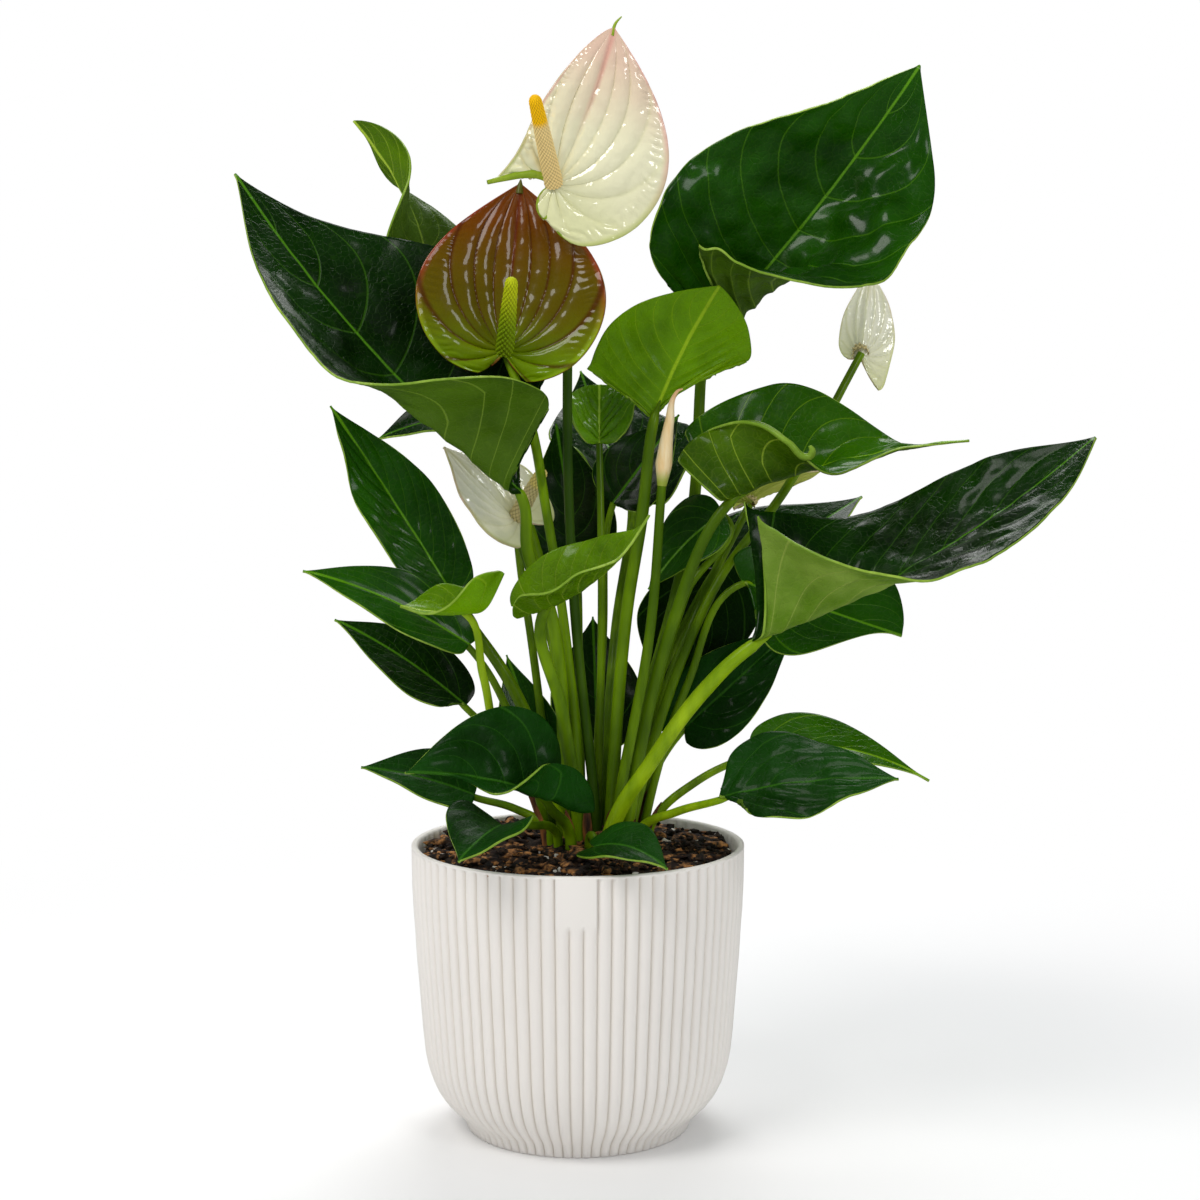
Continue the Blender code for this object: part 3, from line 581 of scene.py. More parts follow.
# Upper sides: glossy bottle green on old leaves, duller near the pot, fresh green on younger
# ones, yellow-green on the youngest, and a wet gloss on the one that is still unfurling.
dark_upper = leaf_surface("leaf_dark_upper", "031700", "0b2e01", "4a8210", 0.26, 0.28, 0.22)
mid_upper = leaf_surface("leaf_mid_upper", "0d3600", "1c5000", "5c9612", 0.26, 0.3, 0.45)
low_upper = leaf_surface("leaf_low_upper", "062800", "124406", "2f6410", 0.36, 0.45, 0.12)
fresh_upper = leaf_surface("leaf_fresh_upper", "1a4600", "306400", "80b014", 0.24)
young_upper = leaf_surface("leaf_young_upper", "507a00", "76a200", "a8c828", 0.24, 0.35)
boat_upper = leaf_surface("leaf_boat_upper", "3c6000", "5c8402", "a4bc3c", 0.24, 0.35)
wet_upper = leaf_surface("leaf_wet_upper", "3e6c04", "64980e", "a8d040", 0.18, 0.4, 1.0)
# Undersides: lighter and yellower than the upper sides, with little wax.
dark_under = leaf_surface("leaf_dark_underside", "335006", "4b6c10", "8aa838", 0.4, 0.4, 0.15)
lobe_under = leaf_surface("leaf_lobe_underside", "2a4a00", "507400", "a4c038", 0.3, 0.5)
pale_under = leaf_surface("leaf_pale_underside", "507606", "7c983a", "aebe5c", 0.42, 0.3, 0.1)
young_under = leaf_surface("leaf_young_underside", "4c7600", "6ea000", "9abe1c", 0.4, 0.3, 0.1)
# Rims are translucent yellow-green; stalks are firm and shiny, lightest on the new ones.
leaf_rim = plain_skin("leaf_rim", "6c9020", "a2c04c", 0.4)
stalk_skin = plain_skin("stalk_green_detail", "3e5e00", "7ea400", 0.34, 18.0)
bright_stalk_skin = plain_skin("stalk_bright_detail", "6a8e00", "a8c814", 0.32, 18.0)

# What differs from a glossy dark leaf: the skins of its upper side and underside
SKINS = {"right_upper": (mid_upper, dark_under), "left_middle": (mid_upper, dark_under),
         "left_lower": (mid_upper, dark_under), "left_low_back": (low_upper, dark_under),
         "rim_left": (low_upper, dark_under), "rim_front": (low_upper, dark_under),
         "right_low": (low_upper, dark_under), "right_dark": (low_upper, dark_under),
         "left_inner": (mid_upper, dark_under), "right_inner": (mid_upper, pale_under),
         "right_middle": (fresh_upper, lobe_under), "right_low_back": (fresh_upper, dark_under),
         "back_left_upper": (dark_under, lobe_under), "right_long": (dark_upper, pale_under),
         "middle_unfurling": (wet_upper, young_under), "right_under": (mid_upper, dark_under),
         "left_low_front": (low_upper, low_upper), "left_cup": (young_upper, young_under),
         "front_boat": (boat_upper, boat_upper), "middle_young": (young_upper, young_under)}
# Rows and columns of the sheet, its swell and wave, the stalk's radius and the side veins, for
# every leaf that the tables below don't give its own
LARGE_LEAF = (100, 64, 0.85, 1.4, 2.6, 10)
SMALL_LEAF = (60, 36, 0.12, 0.4, 1.7, 6)
BRIGHT_STALKS = ("right_long", "left_cup", "right_low")
FEW_VEINS = ("left_low_front", "right_low")
LEAF_THICKNESS = 0.95
STALK_RADII = {"right_long": 3.1, "right_low": 1.8, "left_low_front": 2.0}
# How far the margin waves up and down, and how far the tissue swells between the veins
WAVES = {"right_middle": 2.6, "left_upper": 1.0, "left_low_front": 0.2}
PUCKERS = {"right_upper": 2.2, "right_long": 1.3, "right_dark": 1.6, "middle_unfurling": 1.5}


def thicken(piece, thickness):
    """Give a sheet its thickness, with the second material behind and the third on the rim."""
    shell = piece.modifiers.new("thickness", "SOLIDIFY")
    shell.thickness = thickness * MM
    shell.offset = 0.0
    shell.material_offset = 1
    shell.material_offset_rim = 2


def stalk(name, points, radii, mat, node):
    """A round stalk through a few points, with a radius at each."""
    curve = bpy.data.curves.new(name, "CURVE")
    curve.dimensions = "3D"
    curve.bevel_depth = MM
    curve.bevel_resolution = 5
    curve.use_fill_caps = True
    curve.resolution_u = 14
    spline = curve.splines.new("BEZIER")
    spline.bezier_points.add(len(points) - 1)
    for spot, place, radius in zip(spline.bezier_points, points, radii):
        spot.co = Vector(place) * MM
        spot.handle_left_type = spot.handle_right_type = "AUTO"
        spot.radius = radius
    return dress(name, curve, [mat], node)


CROWN_MIDDLE, CROWN_TOP, GAP = 8.0, 124.0, 0.3
CROWN_RINGS = (0.0, 7.0, 14.0, 21.0)
FOOT_DEPTH, FOOT_RISE = 4.0, 3.2    # how far a stalk starts in the crumbs, and its first rise


def crown_site(ring, degrees):
    """Where a stalk stands on the crown: on one of four rings round its middle."""
    radius, angle = CROWN_RINGS[ring], math.radians(degrees)
    return Vector((CROWN_MIDDLE + radius * math.cos(angle), radius * math.sin(angle),
                   CROWN_TOP + GAP))


def stalk_path(site, blade, radius, thickness, via):
    """From inside the crown, half upright and half the way it goes, through via, to just under
    the blade, and a little way along beneath its midrib."""
    start = crown_site(*site)
    goal, up = blade.base, blade.frame(0)[2]
    middle = [Vector(p) for p in via]
    way = ((middle or [goal])[0] - start).normalized()
    lift = start + (way + Vector((0, 0, 1))) * FOOT_RISE
    if not middle:                  # a plain stalk bows: it rises first and leans out later
        middle = [Vector((lift.x + (goal.x - lift.x) * 0.42, lift.y + (goal.y - lift.y) * 0.42,
                          lift.z + (goal.z - lift.z) * 0.56))]
    way = (goal - middle[-1]).normalized()
    lean = math.sqrt(max(0.0, 1 - way.dot(up) ** 2))
    end = goal - up * (thickness / 2 + radius * lean * 0.8)
    spot, _, up, _ = blade.frame(min(9.0 / blade.length, 0.2))
    return [start - Vector((0, 0, FOOT_DEPTH)), lift] + middle + [end, spot - up * 0.9]


# Large leaves: name, place on the crown, points that the stalk passes, blade
LEAVES = [
    ("left_upper", (2, 190), [(-10, -14, 215), (-20, -22, 245)], dict(
        base=(-22, -24, 269), tip=(-139, -10, 398), bow=(-5, -4, -4), half=(57, 72),
        lobe=(-0.08, -0.15), faces=(0.4, -0.7, 0.5), left=(135, 37, 0), right=(65, 32, 0),
        belly=0.2, root=(0.85, 0.5))),
    ("back_left_upper", (3, 119), [(-18, 36, 240)], dict(
        base=(-62, 32, 345), tip=(-95, 30, 424), bow=(8, 0, 2), half=(25, 23), lobe=(0.05, 0.1),
        faces=(1, -0.2, 0.3), left=(5, 5, 5), right=(20, 10, 10), twist=200, belly=(0.25, 0.2),
        point=(0.75, 2.2))),
    ("right_upper", (1, 30), [(48, 32, 250)], dict(
        base=(57, 42, 336), tip=(144, 28, 447), bow=(3, 0, -1), half=(59, 73), lobe=(-0.02, -0.18),
        faces=(0.3, -0.9, 0.3), left=(30, 15, 60), right=(152, 58, -20), crease=0.22, point=1.05,
        root=(0.5, 1.15))),
    ("middle_young", (1, 325), [(20, -2, 215), (27, 1, 260)], dict(
        base=(31, 4, 298), tip=(59, 8, 354), bow=(-2, 2, 0), half=(30, 33), lobe=(-0.65, -0.17),
        faces=(-0.1, 0.9, 0.3), left=(30, 20, 10), right=(30, 20, 10), belly=(0.68, 0.35),
        point=(0.7, 1.0), root=(0.8, 1.02))),
    ("right_middle", (2, 333), [(40, 0, 215)], dict(
        base=(63, 0, 266), tip=(160, -15, 290), bow=(0, 8, 4), half=(43, 35), lobe=(0.05, 0.14),
        faces=(0.1, -0.3, 0.9), left=(70, 62, 30), right=(122, 15, -10), belly=(0.3, 0.05),
        point=(3.6, 2.3), root=(0.8, 0.78))),
    ("right_long", (3, 283), [(30, -32, 160), (52, -42, 192)], dict(
        base=(69, -45, 211), tip=(204, -50, 292), bow=(3, 0, -7), half=(43, 38),
        lobe=(-0.12, -0.14), faces=(-0.3, -0.3, 0.9), left=(80, 16, 55), right=(126, 12, -28),
        belly=0.4, point=0.85, root=(1.3, 1.4))),
    ("right_low", (3, 320), [(40, -24, 138)], dict(
        base=(57, -40, 147), tip=(126, -66, 159), bow=(0, 0, 3), half=(27, 17), lobe=(-0.05, -0.15),
        faces=(0.1, -0.7, 0.7), left=(10, -5, 0), right=(10, -5, 0), belly=(0.25, 0.42))),
    ("left_middle", (2, 165), [], dict(
        base=(-51, 3, 223), tip=(-104, 13, 304), bow=(2, 0, -2), half=(17, 18), lobe=(0, 0),
        faces=(0.2, -0.9, 0.3), left=(20, 20, 20), right=(20, 20, 20), belly=0.42)),
    ("front_boat", (2, 240), [(-6, -30, 180)], dict(
        base=(-13, -50, 225), tip=(28, -80, 263), bow=(3, 0, -4), half=(21, 20), lobe=(0.25, 0.15),
        faces=(-0.4, -0.4, 0.9), left=(60, 40, 20), right=(60, 40, 20))),
    ("left_low_front", (3, 240), [(-10, -36, 141)], dict(
        base=(-14, -50, 150), tip=(-66, -75, 163), bow=(0, 0, 3), half=(21, 32), lobe=(0.37, 0.1),
        faces=(0, -0.9, 0.5), left=(178, 20, 0), right=(10, 10, 10), belly=(-0.15, 0.22),
        point=(3.6, 1.2))),
    ("back_high", (3, 83), [], dict(
        base=(24, 80, 262), tip=(0, 140, 320), bow=(0, 6, -4), half=(40, 40), lobe=(0.15, 0.15),
        faces=(0.1, -0.5, 0.8), left=(50, 30, 15), right=(50, 30, 15))),
]

# Small leaves, each one piece with its stalk: name, place, points on the stalk, blade
SMALL_LEAVES = [
    ("right_under", (3, 20), [], dict(
        base=(70, 12.5, 230), tip=(137, 11, 207), half=(28, 29), lobe=(0.1, -0.12),
        faces=(0, -0.8, 0.6), left=(15, 5, 0), right=(10, 5, 0), belly=(0.75, 0.3),
        point=(0.5, 2.2))),
    ("right_dark", (3, 42), [], dict(
        base=(47, 30, 166), tip=(95, 34, 210), half=(19, 18), lobe=(0.15, 0.08),
        faces=(0.3, -0.8, 0.5), left=(15, 10, 10), right=(15, 10, 10))),
    ("left_lower", (3, 188), [], dict(
        base=(-45, -10, 206), tip=(-112, -20, 237), bow=(0, 0, 4), half=(13, 16), lobe=(0, 0.03),
        faces=(0, -0.8, 0.7), left=(10, 10, 10), right=(10, 10, 10), belly=0.35)),
    ("left_lower_back", (3, 172), [], dict(
        base=(-48, 15, 177), tip=(-104, 20, 213), bow=(0, 0, 3), half=(14, 15), lobe=(-0.08, 0),
        faces=(0, -0.8, 0.7), left=(10, 10, 10), right=(10, 10, 10), belly=0.35)),
    ("right_inner_dark", (2, 68), [], dict(
        base=(64, 46, 234), tip=(35, 40, 179), half=(24, 26), lobe=(0.1, -0.1),
        faces=(0.2, -0.9, 0.3), left=(15, 10, 10), right=(15, 10, 10), belly=(0.3, 0.5))),
    ("right_low_back", (3, 0), [], dict(
        base=(73, 0, 159), tip=(146, -12, 149), bow=(0, 0, 8), half=(17, 14), lobe=(0, 0),
        faces=(0, -0.6, 0.8), left=(10, 10, 10), right=(10, 10, 10), point=1.8)),
    ("left_low_back", (3, 205), [], dict(
        base=(-43, -11, 143), tip=(-89, -20, 156), bow=(0, 0, 2), half=(12, 16), lobe=(0, 0),
        faces=(0, -0.7, 0.7), left=(10, 10, 10), right=(10, 10, 10))),
    ("rim_left", (3, 222), [], dict(
        base=(-30, -56, 139), tip=(-45, -84, 130), bow=(0, -2, 2), half=(18, 20), lobe=(0.1, 0.1),
        faces=(-0.2, -0.6, 0.8), left=(30, 20, 10), right=(30, 20, 10))),
    ("rim_front", (3, 261), [(8, -40, 127)], dict(
        base=(8, -58, 131), tip=(35, -88, 128), bow=(0, 0, 4), half=(14, 10), lobe=(0.2, 0.2),
        faces=(0.1, -0.7, 0.75), left=(5, 5, 5), right=(5, 5, 5))),
    ("left_cup", (2, 215), [(-31, -28, 165), (-38, -33, 196)], dict(
        base=(-45, -35, 222), tip=(-70, -46, 225), bow=(0, 0, -1), half=(26, 14), lobe=(0.42, 0.2),
        faces=(0.2, -0.3, 0.9), left=(90, 70, 20), right=(40, 40, 20), crease=0.5,
        belly=(-0.25, 0.2), point=(1.5, 1.2), root=(0.95, 0.5))),
    ("middle_unfurling", (1, 88), [(10, 8, 220)], dict(
        base=(9, 21, 289), tip=(9, 25, 313), half=(15, 18), lobe=(0.05, 0.05), faces=(0, -1, 0.2),
        left=(50, 40, 20), right=(50, 40, 20), belly=0.6, point=0.45)),
    ("middle_back", (2, 93), [], dict(
        base=(15, 45, 262), tip=(44, 56, 300), half=(17, 17), lobe=(0, 0), faces=(0, -0.8, 0.4),
        left=(20, 20, 20), right=(20, 20, 20))),
    ("centre_back", (2, 118), [], dict(
        base=(-1, 50, 238), tip=(-10, 58, 296), half=(20, 20), lobe=(0.1, 0.1), faces=(0, -1, 0.3),
        left=(15, 15, 15), right=(15, 15, 15))),
    ("left_inner", (3, 137), [], dict(
        base=(-13, 17.5, 150), tip=(-31, 28, 197), half=(17, 12), lobe=(0.1, 0.1),
        faces=(0, -0.9, 0.4), left=(15, 15, 15), right=(15, 15, 15))),
    ("right_inner", (2, 21), [(46, 14, 225)], dict(
        base=(62, 22, 258), tip=(30, 20, 226), bow=(0, 0, 4), half=(15, 15), lobe=(0, 0),
        faces=(-0.3, -0.8, 0.4), left=(15, 15, 15), right=(15, 15, 15))),
    ("far_left", (3, 155), [], dict(
        base=(-40, 56, 298), tip=(-89, 62, 289), bow=(0, 0, 4), half=(16, 18), lobe=(0.1, 0.1),
        faces=(0, -0.6, 0.8), left=(20, 20, 20), right=(20, 20, 20))),
    ("back_right", (3, 65), [(30, 52, 180)], dict(
        base=(66, 78, 225), tip=(130, 100, 262), half=(30, 30), lobe=(0.15, 0.15),
        faces=(0, -0.4, 0.9), left=(30, 20, 10), right=(30, 20, 10))),
    ("back_low", (3, 101), [], dict(
        base=(8, 62, 158), tip=(6, 84, 208), half=(22, 22), lobe=(0.15, 0.15),
        faces=(0, -0.8, 0.6), left=(30, 20, 10), right=(30, 20, 10))),
]


def add_leaf(name, site, via, shape, small, number):
    """One leaf: its blade, and the stalk that carries it from its place on the crown."""
    blade = Blade(**shape)
    rows, columns, pucker, wave, radius, veins = SMALL_LEAF if small else LARGE_LEAF
    mesh = leaf_mesh("blade_" + name, blade, rows, columns, PUCKERS.get(name, pucker),
                     WAVES.get(name, wave), seed=number,
                     veins=6 if name in FEW_VEINS else veins)
    node = "leaf_" + name
    skins = SKINS.get(name, (dark_upper, dark_under))
    thicken(dress("blade_" + name, mesh, [*skins, leaf_rim], node), LEAF_THICKNESS)
    radius = STALK_RADII.get(name, radius)
    path = stalk_path(site, blade, radius * 0.9, 0.8, via)
    radii = [radius * 1.25, radius * 1.1] + [radius] * (len(path) - 4) + [radius * 0.85, 0.35]
    stalk("stalk_" + name, path, radii,
          bright_stalk_skin if name in BRIGHT_STALKS else stalk_skin,
          node if small else "stem_" + name)
    if name == "right_middle":      # the near margin rolls in to a small curl
        rolled = [blade.at(s, 1) for s in (0.3, 0.42, 0.5, 0.56, 0.6)]
        rolled += [rolled[-1] + Vector((1.8, -1.0, 2.2)), rolled[-1] + Vector((0.8, -1.2, 4.6))]
        stalk("right_middle_curl", rolled, [0.3, 0.5, 0.8, 1.3, 1.6, 1.5, 0.7], leaf_rim,
              node)


for number, (name, site, via, shape) in enumerate(LEAVES):
    add_leaf(name, site, via, shape, False, number)
for number, (name, site, via, shape) in enumerate(SMALL_LEAVES):
    add_leaf(name, site, via, shape, True, 20 + number)


# ---- Flowers: each is a waxy spathe, embossed with arched veins, round a spadix of tiny packed
# flowers. Both grow from the end of a slim round stalk.

def spathe_surface(name, colours, veins, rib, rough, strength, coat=0.9, dents=0.5,
                   gloss=2.0):
    """Spathe skin: living tissue with a lacquer-like wax, which mirrors the lamps sharply.
    Colours run from base by the middle to the tip, then along the margin near the base and
    near the tip; vein lines and midrib are drawn in."""
    base, middle, tip, low_edge, high_edge = colours
    mat, tree = principled(name)
    mark = add(tree, "SeparateXYZ", Vector=add(tree, "UVMap", {"uv_map": "veins"}))
    place = add(tree, "UVMap", {"uv_map": "flat"})
    spot = add(tree, "SeparateXYZ", Vector=place)
    blotch = add(tree, "TexNoise", Vector=place, Scale=5.0, Detail=3.0)
    dapple = add(tree, "TexNoise", Vector=place, Scale=22.0, Detail=2.0)
    fine = add(tree, "TexNoise", Vector=place, Scale=80.0, Detail=3.0)
    along = add(tree, "Math", TIMES_PLUS, _0=blotch, _1=0.2, _2=spot.outputs[0])
    low = add(tree, "MapRange", SMOOTH, Value=along, _1=-0.08, _2=0.3)
    high = add(tree, "MapRange", SMOOTH, Value=along, _1=0.3, _2=0.72)
    skin = add(tree, "Mix", BLEND, _0=low, _6=base, _7=middle)
    skin = add(tree, "Mix", BLEND, _0=high, _6=skin, _7=tip)
    across = add(tree, "Math", {"operation": "SUBTRACT"}, _0=mark.outputs[1], _1=0.5)
    across = add(tree, "Math", {"operation": "ABSOLUTE"}, _0=across)
    from_base = add(tree, "MapRange", SMOOTH, Value=spot.outputs[0], _1=0.0, _2=0.3)
    edge = add(tree, "Mix", BLEND, _0=from_base, _6=low_edge, _7=high_edge)
    margin = add(tree, "MapRange", SMOOTH, Value=across, _1=0.455, _2=0.499, _3=0.0, _4=0.7)
    skin = add(tree, "Mix", BLEND, _0=margin, _6=skin, _7=edge)
    from_vein = add(tree, "Math", {"operation": "PINGPONG"}, _0=mark.outputs[0], _1=0.5)
    line = add(tree, "MapRange", SMOOTH, Value=from_vein, _1=0.01, _2=0.14, _3=strength, _4=0.0)
    skin = add(tree, "Mix", BLEND, _0=line, _6=skin, _7=veins)
    from_rib = add(tree, "Math", {"operation": "ABSOLUTE"}, _0=spot.outputs[1])
    midrib = add(tree, "MapRange", SMOOTH, Value=from_rib, _1=0.002, _2=0.02, _3=1.0, _4=0.0)
    shown = add(tree, "MapRange", SMOOTH, Value=spot.outputs[0], _1=0.15, _2=0.5, _3=0.0, _4=0.6)
    midrib = add(tree, "Math", TIMES, _0=midrib, _1=shown)
    skin = add(tree, "Mix", BLEND, _0=midrib, _6=skin, _7=rib)
    wax = add(tree, "MapRange", SMOOTH, Value=fine, _1=0.3, _2=0.7, _3=rough, _4=rough + 0.08)
    grain = add(tree, "Math", TIMES, _0=fine, _1=0.1)
    relief = add(tree, "Math", TIMES_PLUS, _0=dapple, _1=1.2, _2=grain)
    dented = add(tree, "Bump", Strength=dents, Distance=0.0008, Height=relief)
    surface(tree, Base_Color=skin, Roughness=wax, Specular_IOR_Level=0.1, Normal=dented,
            Coat_Weight=coat, Coat_Roughness=0.07, Coat_IOR=gloss, Coat_Normal=dented)
    return mat


# Cream white with a blush towards the tip; the other side is plainer, and its colours are painted
# lighter than the front's: painted light for the shaded far and side flowers, which wear it all
# over.
white_front = spathe_surface(
    "spathe_white_front", ("e6e7b2", "f0edca", "e4c4ae", "a8b64a", "dfa49c"),
    "d6d6a0", "e0988c", 0.3, 0.25)
# painted light: base colours lighter than the front's, standing in for light shining through shaded
# tissue
white_back_painted_light = spathe_surface(
    "spathe_white_back", ("eceebc", "fcfae2", "faeed8", "c8d07c", "e8d4b0"),
    "dcdca8", "ccc894", 0.35, 0.35)
# light soaks into the thin tissue and comes through it
surface(white_back_painted_light.node_tree, Subsurface_Weight=0.35, Subsurface_Radius=(1.0, 1.0, 0.85),
        Subsurface_Scale=0.002)
# Lime green at the base, chocolate towards the tip, with dark red veins.
bronze_front = spathe_surface(
    "spathe_bronze_front", ("729802", "5a4e00", "6a3400", "90b00c", "9a3420"),
    "4a1c02", "662008", 0.24, 0.75, 0.6, 0.12, 1.5)
bronze_back = spathe_surface(
    "spathe_bronze_back", ("6c8a0c", "65640a", "623a10", "7a9a1e", "8a4a20"),
    "4a3206", "5a3810", 0.3, 0.5)
# A spathe that is turning green with age.
pale_front = spathe_surface(
    "spathe_pale_front", ("a4b038", "b4bc50", "c4c46a", "a0b040", "b8bc58"),
    "8c9c30", "9cac40", 0.3, 0.5)
white_rim = plain_skin("spathe_white_rim", "c8c48c", "dcbfa6", 0.35)
lime_rim = plain_skin("spathe_lime_rim", "7c9a1c", "a4b83c", 0.3)
bronze_rim = plain_skin("spathe_bronze_rim", "8c3a22", "8a9420", 0.3)
tip_skin = plain_skin("spathe_bronze_tip", "3c4a0c", "5e5c14", 0.35)
flower_stalk_skin = plain_skin("flower_stalk_green", "1e3d05", "4d6f0e", 0.34, 18.0)


def spadix_surface(name, low, high, start, end):
    """Spadix skin: its colour changes along its length, with painted shade between the flowers."""
    mat, tree = principled(name)
    place = add(tree, "SeparateXYZ", Vector=add(tree, "UVMap", {"uv_map": "rod"}))
    fine = mottle(tree, 500.0)
    ripe = add(tree, "MapRange", SMOOTH, Value=place.outputs[1], _1=start, _2=end)
    # painted shade: the colour darkens to 5c4a08 where the surface sinks between the bumps
    crevice_shade = add(tree, "MapRange", SMOOTH, Value=place.outputs[0], _1=0.0, _2=0.5, _3=0.45,
                  _4=0.0)
    skin = add(tree, "Mix", BLEND, _0=ripe, _6=low, _7=high)
    surface(tree, Base_Color=add(tree, "Mix", BLEND, _0=crevice_shade, _6=skin, _7="5c4a08"),
            Roughness=add(tree, "MapRange", SMOOTH, Value=fine, _1=0.3, _2=0.7, _3=0.45, _4=0.6),
            Specular_IOR_Level=0.15,
            Normal=add(tree, "Bump", Strength=0.3, Distance=0.0002, Height=fine))
    return mat


spadix_yellow = spadix_surface("spadix_yellow_detail", "f2d692", "ffc600", 0.66, 0.74)
spadix_pale = spadix_surface("spadix_pale_detail", "d8c890", "e6d27c", 0.66, 0.74)
spadix_green = spadix_surface("spadix_green_detail", "7c9a04", "c0cc10", 0.3, 0.95)

# The skins of a spathe's front, back and rim, and its slot
# the far and side flowers wear the painted-lighter back skin on both faces
WHITE_LOOK = (white_back_painted_light, white_back_painted_light, white_rim, "spathe_white")
LOOKS = {"white": (white_front, white_back_painted_light, white_rim, "spathe_white"),
         "far_white": WHITE_LOOK,
         "side_white": WHITE_LOOK,
         "pale": (pale_front, pale_front, white_rim, "spathe_white"),
         "bronze": (bronze_front, bronze_back, bronze_rim, "spathe_bronze")}
# The skin of a spadix, its slot, how many bumps go round it, and their pitch along it
SPADICES = {"white": (spadix_yellow, "spadix_yellow", 15, 0.95),
            "bronze": (spadix_green, "spadix_green", 11, 1.35)}
COMMON_SPADIX = (spadix_pale, "spadix_yellow", 11, 1.35)
SPATHE_WAVES = {"white": 0.8, "bronze": 0.35}
SPATHE_THICKNESS, SPADIX_RADIUS = 1.0, 3.9


def spadix(name, blade, goal, mat, node, bumps, pitch):
    """A tapering rod of packed bumps in two crossing spirals, with a rounded top. The bumps,
    under 1 mm on a real spadix, are drawn a little coarser."""
    start = blade.base
    axis = Vector(goal) - start
    length = axis.length
    way = axis.normalized()
    side = way.orthogonal().normalized()
    other = way.cross(side)
    rings, around, depth = (170, 96, 0.16) if bumps > 11 else (130, 72, 0.24)
    bm = bmesh.new()
    bmesh.ops.create_grid(bm, x_segments=around, y_segments=rings, size=1.0)
    rod = bm.loops.layers.uv.new("rod")
    marks = {}
    for v in bm.verts:
        share, angle = (v.co.y + 1) / 2, (v.co.x + 1) * math.pi
        top = max(0.0, (share - 0.93) / 0.07)
        body = SPADIX_RADIUS * (1.0 - 0.36 * share ** 1.5) * math.sqrt(max(0.0, 1 - top ** 2))
        turns, climb = angle / math.tau * bumps, share * length / pitch
        bump = abs(math.cos(math.pi * (turns + climb / 2))
                   * math.cos(math.pi * (turns - climb / 2)))
        marks[v] = bump, share
        radius = body * (1 - depth * (1 - bump ** 0.6))
        v.co = (start + way * length * share
                + (side * math.cos(angle) + other * math.sin(angle)) * radius) * MM
    for face in bm.faces:
        for loop in face.loops:
            loop[rod].uv = marks[loop.vert]
    close(bm)
    dress(name, to_mesh(bm, name), [mat], node)


# Flowers: name, place on the crown, points on the stalk, spathe, top of the spadix
FLOWERS = [
    ("white", (0, 0), [(-2, -2, 230), (-4, -2, 330), (-2, -8, 374)], dict(
        base=(-9, -31, 392), tip=(17, -33, 457), half=(19, 40), lobe=(0.18, 0.32),
        faces=(0.1, -1, 0.1), left=(20, 10, 0), right=(0, 0, 0), bow=(2, 0, 0), point=(0.65, 1.0),
        root=(1.3, 0.1)),
     (-16, -59, 423)),
    ("bronze", (1, 205), [(-4, -4, 200), (-13, -8, 262), (-20, -28, 302)], dict(
        base=(-29, -27, 326), tip=(-23, -12, 394), half=(38, 40), lobe=(0.14, 0.17),
        faces=(0, -1, 0.3), left=(15, 15, 15), right=(15, 15, 15), belly=0.3, point=0.95,
        root=(0.25, 0.25)),
     (-25, -52, 354)),
    ("far_white", (2, 357), [(57, 17, 225), (90, 30, 270)], dict(
        base=(123, 50, 326), tip=(128, 62, 362), half=(15, 11), lobe=(0.36, 0.05),
        faces=(0.1, 0.9, 0.3), left=(30, 20, 10), right=(30, 20, 10), point=0.9, root=(0.7, 0.4)),
     (124, 72, 342)),
    ("side_white", (1, 145), [], dict(
        base=(-26, 8, 257), tip=(-56, 6, 287), half=(23, 21), lobe=(0.22, 0.3),
        faces=(0.5, -0.5, 0.6), left=(5, 5, 5), right=(30, 30, 10), root=(0.5, 0.5)),
     (-14, -6, 278)),
    ("pale", (2, 45), [(53, 30, 220)], dict(
        base=(74, 48, 262), tip=(106, 48, 276), half=(14, 14), lobe=(0.2, 0.2),
        faces=(-0.3, 0.5, 0.8), left=(50, 30, 10), right=(50, 30, 10)),
     (84, 58, 276)),
]


